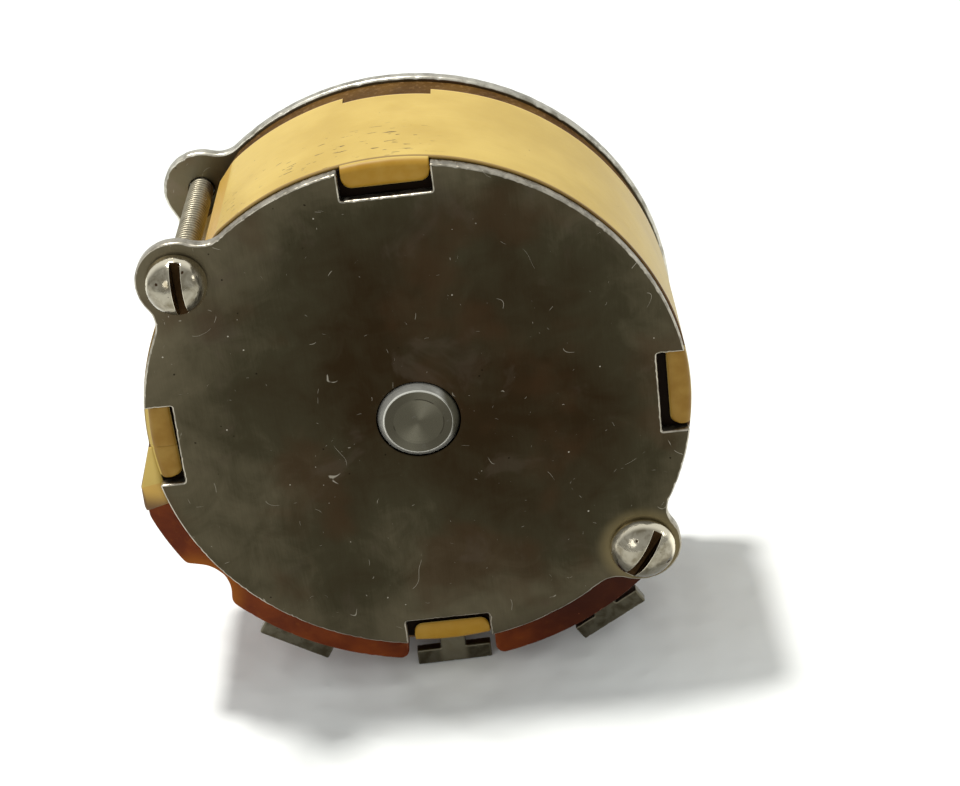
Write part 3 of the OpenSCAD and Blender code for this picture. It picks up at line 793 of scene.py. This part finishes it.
def floor_material():
    """Pale foam board with faint beads."""
    g = Graph("pale_foam", gloss=0.25)
    cloud = g.noise(0.02, 4)
    colour = g.mix(g.between(cloud, 0.3, 0.7), (0.76, 0.775, 0.76), (0.83, 0.84, 0.83))
    return g.done(colour, g.scale(cloud, 0.55, 0.7), (g.cells(0.30, feature="SMOOTH_F1"), -0.35),
                  (g.noise(0.08), 0.8))


# The rear plate's nickel, painted darker than the front plate's as a dim reflection
dark_reflection_nickel = plate_metal("dark_reflection_nickel", (0.021, 0.0130, 0.0058), (0.036, 0.0305, 0.0170),
                           (0.112, 0.094, 0.060), (0.50, 0.46, 0.38), 0.36)
plate_nickel = plate_metal("plate_nickel", (0.085, 0.072, 0.038), (0.115, 0.098, 0.060),
                           (0.16, 0.14, 0.09), (0.66, 0.63, 0.54), 0.36)
bright_nickel = plated_metal("bright_nickel", (0.18, 0.155, 0.105), (0.36, 0.33, 0.26), 0.13,
                             polish_and_glint=2.5)
# The shank's nickel: rougher and a little darker than the head's, as painted shade
screw_thread = plated_metal("screw_thread", (0.16, 0.14, 0.10), (0.30, 0.27, 0.20), 0.40, 0.8)
lug_plating = plated_metal("lug_plating", (0.055, 0.045, 0.027), (0.105, 0.094, 0.066), 0.38, 0.8,
                           tinned=True)
brass = turned_metal("brass", (0.42, 0.34, 0.19), (0.60, 0.52, 0.34), 0.26, 0.2, 0.003)
steel = turned_metal("steel", (0.26, 0.25, 0.22), (0.46, 0.45, 0.41), 0.26)
bronze = plated_metal("bronze", (0.42, 0.24, 0.12), (0.62, 0.40, 0.22), 0.30)
brown_phenolic = phenolic("brown_phenolic", (0.060, 0.027, 0.006), (0.110, 0.055, 0.012),
                          (0.15, 0.075, 0.016), 0.55, gloss=0.04)
# Orange where the moulding is thin beside the screw hollow; near black on the lower right as painted shade
red_phenolic = phenolic("red_phenolic", (0.085, 0.015, 0.004), (0.150, 0.031, 0.006),
                        (0.27, 0.080, 0.008), 0.40,
                        [(polar(*BLOCK_HOLLOW[:2]), 2.7, 4.4, (0.27, 0.080, 0.008)),
                         (polar(24.0, 309.0), 3.5, 13.0, (0.016, 0.004, 0.002))], gloss=0.07)
card_board = phenolic("card_board", (0.30, 0.20, 0.10), (0.45, 0.32, 0.18),
                      (0.50, 0.38, 0.22), 0.55)
yellow_film = film_material()
resistance_wire = winding_material()


# ---------------------------------------------------------------- plates

def screw_holes(clearance):
    """Holes in a plate's ears."""
    return [circle(SCREW_R + clearance, polar(SCREW_CIRCLE_R, a), 48) for a in EAR_ANGLES]


def rear_plate():
    outline = plate_outline(True)
    shape = Shape()
    slab(shape, outline, [circle(SHAFT_HOLE_R, count=128)] + screw_holes(0.15), RING_REAR, DEPTH,
         0.10, 0.14, push=nicks(len(outline), 5, 0.10, 0.05))
    shape.build("rear_plate_sheet", "rear_plate", dark_reflection_nickel)


def front_plate():
    """Its holes take the bushing, the stop post's foot, the locating key and the screws."""
    outline = plate_outline(False)
    shape = Shape()
    holes = [circle(5.17), circle(0.92, (0, -STAKE_R), 48), box(1.62, KEY_R - 0.67, KEY_R + 0.67, 0.1)]
    slab(shape, outline, holes + screw_holes(0.02), 0.0, PLATE_T, 0.16, 0.22,
         push=nicks(len(outline), 8, 0.12, 0.05))
    shape.build("front_plate_sheet", "front_plate", plate_nickel)


# ---------------------------------------------------------------- housing, film and block

def housing_ring():
    angles = np.arange(0, 360, 0.25)
    radius = np.minimum(RING_R, groove_radius(angles, FILM_T + 0.02))
    shape = Shape()
    slab(shape, soften(even(polar(radius, angles)), 2), [circle(BORE_R, count=240)], PLATE_T, RING_REAR, 0.10, 0.10)
    # The rear face lies in the plate's shade, so it is painted almost black
    shape.wear_and_light = [-1.0 if p[2] > RING_REAR - 0.2 else w for p, w in zip(shape.points, shape.wear_and_light)]
    shape.build("housing_ring_body", "housing_ring", brown_phenolic)


def nearest_tab(bearing):
    """The row of TABS that is nearest to a bearing."""
    return min(TABS, key=lambda tab: abs(turn_from(tab[0], bearing)))


def film_section():
    """The film's path round the ring and out over the block, as an open outline."""
    half_cut = math.degrees(math.asin(FILM_CUT_W / 2 / FILM_R))
    start, end = RAMP_LEAVE + 0.02, RAMP_LEAVE + 360
    angles = [np.arange(start, end, 0.35), [end]]
    for notch, _, low, high, *_ in TABS:
        for turn in (0, 360):
            ends = [notch + turn + math.degrees(math.asin(t / FILM_R)) for t in (low, high)]
            cuts = [notch + turn + s * half_cut + d for s in (-1, 1) for d in (-0.02, 0.02)]
            angles.append(ends + cuts)
    angles = np.unique(np.concatenate(angles))
    angles = angles[(angles >= start) & (angles <= end)]
    angles = angles[np.concatenate([[True], np.diff(angles) > 0.015])]
    body = polar(np.minimum(FILM_R, groove_radius(angles, 0.0)), angles)
    rise = segment((RAMP_X, RAMP_FROM), (RAMP_X, RAMP_REACH))[1:]
    corner = np.array([RAMP_X, RAMP_REACH])
    tip = corner + RAMP_LAP * polar(1.0, 90 + RAMP_BEND)
    lap = turned(np.vstack([rise, segment(corner, tip)[1:]]), RAMP_START)
    return np.vstack([body, lap]), len(body)


def tab_rows(tab, t):
    """Points (distance from the axis, height) of a folded tab, from the film's rear edge inwards."""
    _, inner, low, high, setback, low_r, high_r = tab
    centre = math.sqrt(FILM_R ** 2 - t * t) - setback - TAB_FOLD_R
    for corner_r, side in ((low_r, low + low_r - t), (high_r, t - high + high_r)):
        side = min(corner_r, max(0.0, side))
        inner += corner_r - math.sqrt(corner_r ** 2 - side ** 2)
    rows = []
    for k in range(1, 9):
        a = math.pi / 2 * k / 8
        rows.append((centre + TAB_FOLD_R * math.cos(a),
                     TAB_TOP - TAB_FOLD_R * (1 - math.sin(a)), 0.0))
    for k in range(1, 9):
        v = k / 8
        sag = 0.05 * math.sin(math.pi * v) - 0.16 * v ** 5 - 0.04 * (t / 3.1) ** 4
        rows.append((centre + (inner - centre) * v, TAB_TOP + sag, 1.0 if k == 8 else 0.0))
    return rows


def film_fold(shape):
    """The film's rear edge beside the lap, folded flat over the block and creased at the corner."""
    angles = np.concatenate([np.arange(RAMP_LEAVE + 0.8, RAMP_CORNER - 0.4, 0.6),
                             RAMP_CORNER + np.array([-0.3, 0.0, 0.3]),
                             np.arange(RAMP_CORNER + 0.8, FOLD_END, 0.6), [FOLD_END]])
    outer = block_outer(angles, FILM_T)
    inner = RING_R + 0.05
    columns = []
    for a, r in zip(angles, outer):
        past = max(0.0, a - RAMP_CORNER) / (FOLD_END - RAMP_CORNER)
        crease = math.exp(-((a - RAMP_CORNER) / 0.35) ** 2)
        column = []
        for share in (0.0, 0.02, 0.06, 0.14, 0.35, 0.65, 1.0):
            x, y = polar(r + (inner - r) * share, a)
            drop = 0.13 * math.exp(-share / 0.03) + 0.05 * (1 - share) + 0.10 * past
            column.append((x, y, FOLD_TOP - drop + 0.03 * crease))
        # Painted shade on the fold: deeper past the corner, faint before it
        columns.append(shape.add(column, -0.7 if past > 0.02 else -0.25))
    shape.strip(columns, closed=False)


def film_wrap():
    path, body_count = film_section()
    smooth = soften(path, 5, closed=False)
    crease = np.zeros(len(path), bool)
    for ear in EAR_ANGLES:
        away = np.abs(turn_from(ear, np.degrees(np.arctan2(path[:, 1], path[:, 0]))))
        crease |= (away > 11) & (away < 14) | (away > 5.5) & (away < 6.5)
    crease |= np.arange(len(path)) > body_count - 3
    path[crease] = smooth[crease]
    outward = -normals(path, closed=False)
    shape = Shape()
    rng = np.random.default_rng(11)
    wave = rng.uniform(0, 2 * math.pi, 6)
    share = np.concatenate([[0, 0.006, 0.02], np.linspace(0.08, 0.92, 11), [0.98, 0.994, 1.0]])
    columns = []
    for i, (p, n) in enumerate(zip(path, outward)):
        bearing = math.degrees(math.atan2(p[1], p[0]))
        tab = nearest_tab(bearing)
        notch, t = tab[0], turned([p], -tab[0])[0][1]
        on_body = i < body_count
        cut = on_body and abs(t) < FILM_CUT_W / 2
        front = FILM_FRONT + (FILM_CUT_DEPTH if cut else 0)
        fade = min(1.0, i / 40, (len(path) - 1 - i) / 60)
        a = math.radians(bearing)
        # The flats beside the screws are painted a deeper gold as shade
        dark_patch = -0.7 if min(abs(turn_from(ear, bearing)) for ear in EAR_ANGLES) < 12 else 0.0
        column, wear_and_light = [], []
        for z in front + (FILM_REAR - front) * share:
            swell = (math.sin(7 * a + wave[0] + 0.25 * z) + math.sin(11 * a + wave[1] - 0.31 * z)
                     + 0.7 * math.sin(19 * a + wave[2] + 0.6 * z)) * 0.008 * fade
            q = p - n * max(0.0, 0.02 - swell)
            column.append((q[0], q[1], z))
            wear_and_light.append(1.0 if z < front + 0.1 else dark_patch)
        if on_body and tab[2] - 1e-3 <= t <= tab[3] + 1e-3:
            for u, z, edge in tab_rows(tab, t):
                x, y = turned([(u, t)], notch)[0]
                column.append((x, y, z))
                wear_and_light.append(0.5 * edge)
        columns.append(shape.add(column, wear_and_light))
    for a, b in zip(columns, columns[1:]):
        rows = min(len(a), len(b))
        for k in range(rows - 1):
            shape.faces.append((a[k], b[k], b[k + 1], a[k + 1]))
    film_fold(shape)
    wrap = shape.build("film_wrap", "insulating_wrap", yellow_film)
    shell = wrap.modifiers.new("thickness", "SOLIDIFY")
    shell.thickness = 0.22 / 1000
    shell.offset = -1.0


def block_outer(degrees, cover=-0.02):
    """Distance from the axis to the outer face of the terminal block, or of the film over it."""
    degrees = np.asarray(degrees, float)
    ramp_x = RAMP_X - FILM_T + cover
    bend = math.radians(RAMP_BEND)
    flank = ramp_x * math.cos(bend) + RAMP_REACH * math.sin(bend)
    d = np.radians(degrees - RAMP_START)
    radius = np.interp(degrees, BLOCK_STEP, (BLOCK_R, BLOCK_RIGHT_R))
    for distance, turn in ((ramp_x, d), (flank, d - bend)):
        facing = np.maximum(np.cos(turn), 0.3)
        radius = np.where(np.cos(turn) > 0.3, np.minimum(radius, distance / facing), radius)
    return np.minimum(radius, near_side(degrees, *BLOCK_HOLLOW))


def screw_room(radius):
    """Bearing at which the hollow round the lower screw meets a radius, on the block's side."""
    reach = (radius ** 2 + SCREW_CIRCLE_R ** 2 - SCREW_ROOM_R ** 2) / (2 * radius * SCREW_CIRCLE_R)
    return 360 + EAR_ANGLES[1] - math.degrees(math.acos(reach))


def terminal_block():
    """Moulded block outside the film, with a recess round the centre terminal."""
    half = BLOCK_SLOT_W / 2
    corner_x = half + BLOCK_CORNER_R
    left_y, right_y = (math.sqrt((r - BLOCK_CORNER_R) ** 2 - corner_x ** 2)
                       for r in (BLOCK_R, BLOCK_RIGHT_R))
    left_lean, right_lean = (math.degrees(math.atan2(corner_x, y)) for y in (left_y, right_y))
    wall_in = math.sqrt(BLOCK_INNER ** 2 - half ** 2)
    inner_lean = math.degrees(math.asin(half / BLOCK_INNER))
    start = RAMP_START + 0.1 + math.degrees(math.acos((RAMP_X - FILM_T - 0.02) / BLOCK_INNER))
    outer_end, inner_end = screw_room(BLOCK_RIGHT_R), screw_room(BLOCK_INNER)

    def outer(a, b):
        angles = np.linspace(a, b, int((b - a) * math.radians(BLOCK_R) / STEP) + 2)
        return soften(polar(block_outer(angles), angles), 10, closed=False)

    def inner(a, b):
        return arc((0, 0), BLOCK_INNER, a, b, 0.3)

    outer_left = outer(start, 270 - left_lean)
    outer_mid = outer(270 - left_lean, 270 + right_lean)
    outer_right = outer(270 + right_lean, outer_end)
    screw = polar(SCREW_CIRCLE_R, EAR_ANGLES[1])
    from_angle, to_angle = (math.degrees(math.atan2(*(p - screw)[::-1])) % 360 for p in
                            (outer_right[-1], polar(BLOCK_INNER, inner_end)))
    end_arc = arc(screw, SCREW_ROOM_R, from_angle, to_angle)[1:-1]
    inner_right = inner(inner_end, 270 + inner_lean)
    inner_mid = inner(270 + inner_lean, 270 - inner_lean)
    inner_left = inner(270 - inner_lean, start)
    left_corner = arc((-corner_x, -left_y), BLOCK_CORNER_R, 270 - left_lean, 360, 0.08)
    left_wall = segment((-half, -left_y), (-half, -wall_in))
    right_corner = arc((corner_x, -right_y), BLOCK_CORNER_R, 180, 270 + right_lean, 0.08)
    right_wall = segment((half, -wall_in), (half, -right_y))

    whole = joined(outer_left, outer_mid, outer_right, end_arc, inner_right, inner_mid, inner_left)
    left = joined(outer_left, left_corner, left_wall, inner_left)
    right = joined(right_wall, right_corner, outer_right, end_arc, inner_right)
    floor = joined(outer_mid, right_corner[::-1], right_wall[::-1], inner_mid,
                   left_wall[::-1], left_corner[::-1])
    shape = Shape()
    shape.cap(wall(shape, whole, edge_profile(FILM_FRONT, BLOCK_WEB, 0.12, 0))[0])
    top = edge_profile(BLOCK_WEB, BLOCK_REAR, 0, 0.12)
    for k, path in enumerate((left, right)):
        rings = wall(shape, path, top, push=nicks(len(path), 21 + k, 0.05, 0.05))
        shape.cap(rings[-1])
    shape.cap(shape.ring(floor, BLOCK_WEB))
    shape.build("terminal_block_moulding", "terminal_block", red_phenolic)


# ---------------------------------------------------------------- terminals

def lug_outline(reach):
    """T outline along +X: tail, neck and crossbar, with soft corners."""
    half = [(TAIL_R, -NECK_W / 2), (reach - BAR_H, -NECK_W / 2), (reach - BAR_H, -BAR_W / 2),
            (reach, -BAR_W / 2)]
    corners = half + [(x, -y) for x, y in half[::-1]]
    parts = [segment(a, b, 0.06) for a, b in zip(corners, corners[1:] + corners[:1])]
    return soften(even(joined(*parts), 0.06), 4)


def terminal(name, angle, reach, twist, seed):
    """A punched solder lug. twist turns the crossbar about the neck."""
    shape = Shape()
    outline = lug_outline(reach)
    slab(shape, outline, [], TERMINAL_REAR - TERMINAL_T, TERMINAL_REAR, 0.10, 0.12,
         push=nicks(len(outline), seed, 0.05, 0.04))

    x, y, z = np.asarray(shape.points).T
    middle = TERMINAL_REAR - TERMINAL_T / 2
    turn = np.radians(twist) * np.clip((x - TWIST_FROM) / (reach - TWIST_FROM), 0, 1)
    across = y * np.cos(turn) - (z - middle) * np.sin(turn)
    z = middle + y * np.sin(turn) + (z - middle) * np.cos(turn)
    shape.points = np.column_stack([turned(np.column_stack([x, across]), angle), z])
    shape.build(name + "_lug", name, lug_plating)


# ---------------------------------------------------------------- tie screws

def dome(x, y, radius, height):
    """Height of a screw's round head above its seat: a ball's cap on a short straight side."""
    cap = height - HEAD_SIDE
    ball = (radius ** 2 + cap ** 2) / (2 * cap)
    rho = np.minimum(np.hypot(x, y), radius)
    full = height - ball + np.sqrt(ball ** 2 - rho ** 2)
    return full - 0.10 * np.exp(-(radius - rho) / 0.10)


def screw_head(shape, centre, head, slot, dents):
    """A round head (radius, height) with a sawn slot (direction, shift to the right, floor).

    The grid of points runs across the slot and along it.
    """
    head_r, head_h = head
    slot_angle, shift, floor = slot
    half, lip = HEAD_SLOT_W / 2, 0.06
    # Distance from the slot's middle, height above its floor (or below the dome if negative), and value: negative
    # on the walls for painted shade, high on the lips
    wall_rows = [(half - 0.05, 0.0, -1.0), (half, 0.03, -1.0), (half, 0.35, -0.8),
                 (half, -lip, 0.7), (half + 0.3 * lip, -0.3 * lip, 1.0)]
    # The slot's floor, painted dark as shade
    rows = [(x + shift, 0.0, -1.0) for x in (-0.15, 0.0, 0.15)]
    for side in (-1, 1):
        rows += [(side * x + shift, height, wear_and_light) for x, height, wear_and_light in wall_rows]
        first = math.asin((half + lip + side * shift) / head_r)
        rows += [(side * head_r * math.sin(a), None, 0.0)
                 for a in np.linspace(first, math.pi / 2, 30)]
    along = np.sin(np.linspace(-math.pi / 2, math.pi / 2, 67))
    columns = []
    for x, height, wear_and_light in sorted(rows, key=lambda item: item[0]):
        y = along * math.sqrt(max(head_r ** 2 - x * x, 0.0))
        z = dome(x, y, head_r, head_h)
        # Painted reflection: lighter towards the rim of the dome
        rho = np.hypot(x, y) / head_r
        tone = 0.15 + 0.65 * np.clip((rho - 0.80) / 0.14, 0, 1)
        # The dents are pressed in and darker
        for dx, dy, size, depth in dents:
            push = np.exp(-((x - dx) ** 2 + (y - dy) ** 2) / size ** 2)
            z = z - depth * push
            tone = tone - 1.5 * push
        if height is not None:
            cut = z > floor + 0.02
            lowered = np.minimum(z, floor + height) if height >= 0 else np.maximum(
                z + height, np.minimum(z, floor))
            z, tone = lowered, np.where(cut, wear_and_light, tone)
        # The straight side down to the seat
        y, z = np.r_[y[0], y, y[-1]], np.r_[0.0, z, 0.0]
        tone = np.r_[0.1, tone, 0.1]
        p = turned(np.column_stack([np.full(len(y), x), y]), slot_angle - 90) + centre
        columns.append(shape.add(np.column_stack([p, z + DEPTH]), tone))
    shape.strip(columns, closed=False)


def tie_screw(name, angle, head, slot, dents):
    centre = polar(SCREW_CIRCLE_R, angle)
    shape = Shape()
    screw_head(shape, centre, head, slot, dents)
    shape.build(name + "_head", name, bright_nickel, sharp=40)
    shank = Shape()
    # Painted highlight on the thread's crests, painted shade in its roots
    rings = threaded_rod(shank, centre, SCREW_R, 0.22, 0.4536, 0.25, DEPTH, 40, 0.25, 2.0)
    tip = shank.ring(circle(SCREW_R - 0.15, centre, 40), 0.1)
    shank.bridge(tip, rings[0])
    shank.faces += [tuple(tip), tuple(rings[-1])]
    shank.build(name + "_shank", name, screw_thread, sharp=60)


# ---------------------------------------------------------------- shaft, bushing and mount

def shaft():
    profile = [(0, SHAFT_FRONT), (1.2, SHAFT_FRONT), (2.6, SHAFT_FRONT), (2.655, SHAFT_FRONT),
               (SHAFT_FACE_R, SHAFT_FRONT + 0.03), (SHAFT_R - 0.03, SHAFT_FRONT + 0.49),
               (SHAFT_R, SHAFT_FRONT + 0.54), (SHAFT_R, SHAFT_FRONT + 0.7)]
    profile += [(SHAFT_R, z) for z in np.linspace(SHAFT_FRONT + 2, SNAP_FRONT - 0.15, 8)]
    profile += [(SHAFT_R, SNAP_FRONT - 0.05), (2.75, SNAP_FRONT - 0.05),
                (2.75, SNAP_REAR + 0.05), (SHAFT_R, SNAP_REAR + 0.05)]
    profile += [(SHAFT_R, z) for z in np.linspace(SNAP_REAR + 0.15, SHAFT_REAR - 0.7, 12)]
    profile += [(SHAFT_R, SHAFT_REAR - 0.55), (SHAFT_R - 0.02, SHAFT_REAR - 0.50),
                (SHAFT_FACE_R, SHAFT_REAR - 0.035), (2.655, SHAFT_REAR), (2.60, SHAFT_REAR),
                (1.80, SHAFT_REAR), (1.74, SHAFT_REAR - 0.02), (1.66, SHAFT_REAR - 0.02),
                (0.24, SHAFT_REAR - 0.02), (0.10, SHAFT_REAR - 0.02), (0, SHAFT_REAR - 0.02)]
    # -1 on the rear end, painted dark as a dim reflection with a bow-tie highlight, 0.9 on both chamfers
    wear_and_light = [-1.0 if z > SHAFT_REAR - 0.07 and r < 2.61
            else 0.9 if z > SHAFT_REAR - 0.56 or z < SHAFT_FRONT + 0.6 else 0.0
            for r, z in profile]
    shape = Shape()
    lathe(shape, profile, 128, wear_and_light)
    shape.build("shaft_rod", "shaft", steel, "rotor", sharp=25)


def bushing():
    shape = Shape()
    flange = [(BUSHING_BORE_R, 2.4), (6.85, 2.4), (7.0, 2.25), (7.0, 1.0), (5.15, 1.0),
              (5.15, 0.05), (5.10, 0.0), (4.45, 0.0), (4.35, -0.1), (4.35, -0.55)]
    lathe(shape, flange)
    rings = threaded_rod(shape, (0, 0), BUSHING_R, 0.42, 0.79375, BUSHING_FRONT + 0.25, -0.55,
                         96, 0.45)
    shape.bridge(shape.ring(circle(4.35), -0.55), rings[-1])
    front = [(BUSHING_R - 0.40, BUSHING_FRONT + 0.06), (BUSHING_R - 0.46, BUSHING_FRONT),
             (BUSHING_BORE_R + 0.12, BUSHING_FRONT), (BUSHING_BORE_R, BUSHING_FRONT + 0.12),
             (BUSHING_BORE_R, 2.4)]
    shape.strip([rings[0]] + [shape.ring(circle(r), z) for r, z in front])
    shape.build("bushing_body", "mounting_bushing", brass, sharp=40)


def retaining_ring():
    outer_a, inner_a = (math.degrees(math.asin(SNAP_GAP / 2 / r)) for r in (SNAP_R, SNAP_INNER_R))
    path = joined(arc((0, 0), SNAP_R, outer_a, 360 - outer_a),
                  segment(polar(SNAP_R, -outer_a), polar(SNAP_INNER_R, -inner_a)),
                  arc((0, 0), SNAP_INNER_R, 360 - inner_a, inner_a),
                  segment(polar(SNAP_INNER_R, inner_a), polar(SNAP_R, outer_a)))
    path = soften(even(path, 0.08), 8)
    shape = Shape()
    slab(shape, path, [], SNAP_FRONT, SNAP_REAR, 0.10, 0.10)
    shape.build("retaining_clip", "retaining_ring", steel, "rotor")


def locating_key():
    pin = soften(box(1.6, KEY_R - 0.65, KEY_R + 0.65, 0.06), 8)
    foot = soften(box(2.2, KEY_R - 1.25, KEY_R + 1.25, 0.06), 8)
    shape = Shape()
    slab(shape, pin, [], -1.6, PLATE_T + 0.02, 0.16, 0.02)
    slab(shape, foot, [], PLATE_T, PLATE_T + 0.6, 0.06, 0.1)
    shape.build("locating_lug", "locating_key", plate_nickel)


# ---------------------------------------------------------------- assembly

rear_plate()
front_plate()
housing_ring()
film_wrap()
terminal_block()
terminal("terminal_left", -121.5, 25.25, 1.0, 31)
terminal("terminal_centre", -90.0, 24.7, -1.8, 32)
terminal("terminal_right", -58.5, 26.15, 0.8, 33)
# Dents in the domes: across and along the slot, width, depth
tie_screw("tie_screw_upper", EAR_ANGLES[0], (2.32, 2.55), (90.0, 0.35, 1.15),
          [(-1.1, 0.9, 0.12, 0.06), (0.9, 1.5, 0.1, 0.05)])
tie_screw("tie_screw_lower", EAR_ANGLES[1], (2.62, 2.1), (55.0, 0.0, 1.0),
          [(2.17, 0.30, 0.20, 0.18), (-1.3, 1.0, 0.1, 0.05)])
shaft()
bushing()
retaining_ring()
locating_key()

# Pieces inside the drum keep their CAD meshes
for material, nodes in ((card_board, "element_card"), (resistance_wire, "element_winding"),
                        (bright_nickel, "end_clip_left end_clip_right end_lead_left"
                         " end_lead_right brush_contact wiper_contact"),
                        (bronze, "collector_brush thrust_washer wiper_arm"),
                        (brown_phenolic, "rotor_hub"), (steel, "stop_post hub_screw stop_arm"),
                        (brass, "wiper_rivets collector_ring collector_link")):
    for node in nodes.split():
        mesh = frame["nodes"][node].data
        mesh.materials.clear()
        mesh.materials.append(material)


# ---------------------------------------------------------------- floor, light and camera

def floor(level, half=4.0):
    mesh = bpy.data.meshes.new("floor")
    corners = [(-half, -half), (half, -half), (half, half), (-half, half)]
    mesh.from_pydata([(x, y, level) for x, y in corners], [], [(0, 1, 2, 3)])
    mesh.materials.append(floor_material())
    plane = bpy.data.objects.new("floor", mesh)
    bpy.context.scene.collection.objects.link(plane)


def area_light(name, location, size, power, colour=(1.0, 1.0, 1.0)):
    """A round lamp that faces the origin."""
    data = bpy.data.lights.new(name, "AREA")
    data.shape, data.size = "DISK", size
    data.energy, data.color = power, colour
    lamp = bpy.data.objects.new(name, data)
    lamp.location = location
    lamp.rotation_mode = "QUATERNION"
    lamp.rotation_quaternion = (-Vector(location)).to_track_quat("-Z", "Y")
    bpy.context.scene.collection.objects.link(lamp)


def world(colour, strength):
    w = bpy.data.worlds.new("pale_room")
    w.use_nodes = True
    background = w.node_tree.nodes["Background"]
    background.inputs["Color"].default_value = (*colour, 1.0)
    background.inputs["Strength"].default_value = strength
    bpy.context.scene.world = w


def camera():
    data = bpy.data.cameras.new("camera")
    data.sensor_width, data.lens = 36.0, LENS_MM
    data.clip_start, data.clip_end = 0.005, 20.0
    cam = bpy.data.objects.new("camera", data)
    pan, pitch, roll = (Matrix.Rotation(math.radians(angle), 4, axis)
                        for angle, axis in ((CAMERA_PAN, "Z"), (90 - CAMERA_DOWN, "X"),
                                            (CAMERA_ROLL, "Z")))
    cam.matrix_world = Matrix.Translation(CAMERA_AT) @ pan @ pitch @ roll
    bpy.context.scene.collection.objects.link(cam)
    bpy.context.scene.camera = cam


floor(cad_box[0].z - 0.0001)
area_light("key", (-0.098, 0.055, 0.51), 0.06, 2.6, (1.0, 0.99, 0.96))
area_light("glint_left", (-0.27, -0.44, 0.21), 0.20, 0.30)
area_light("glint_right", (0.50, -0.06, 0.15), 0.10, 0.12)
world((0.985, 1.0, 0.985), 0.70)
camera()
view = bpy.context.scene.view_settings
view.view_transform, view.look = "Standard", "None"
view.exposure, view.gamma = 0.0, 1.0
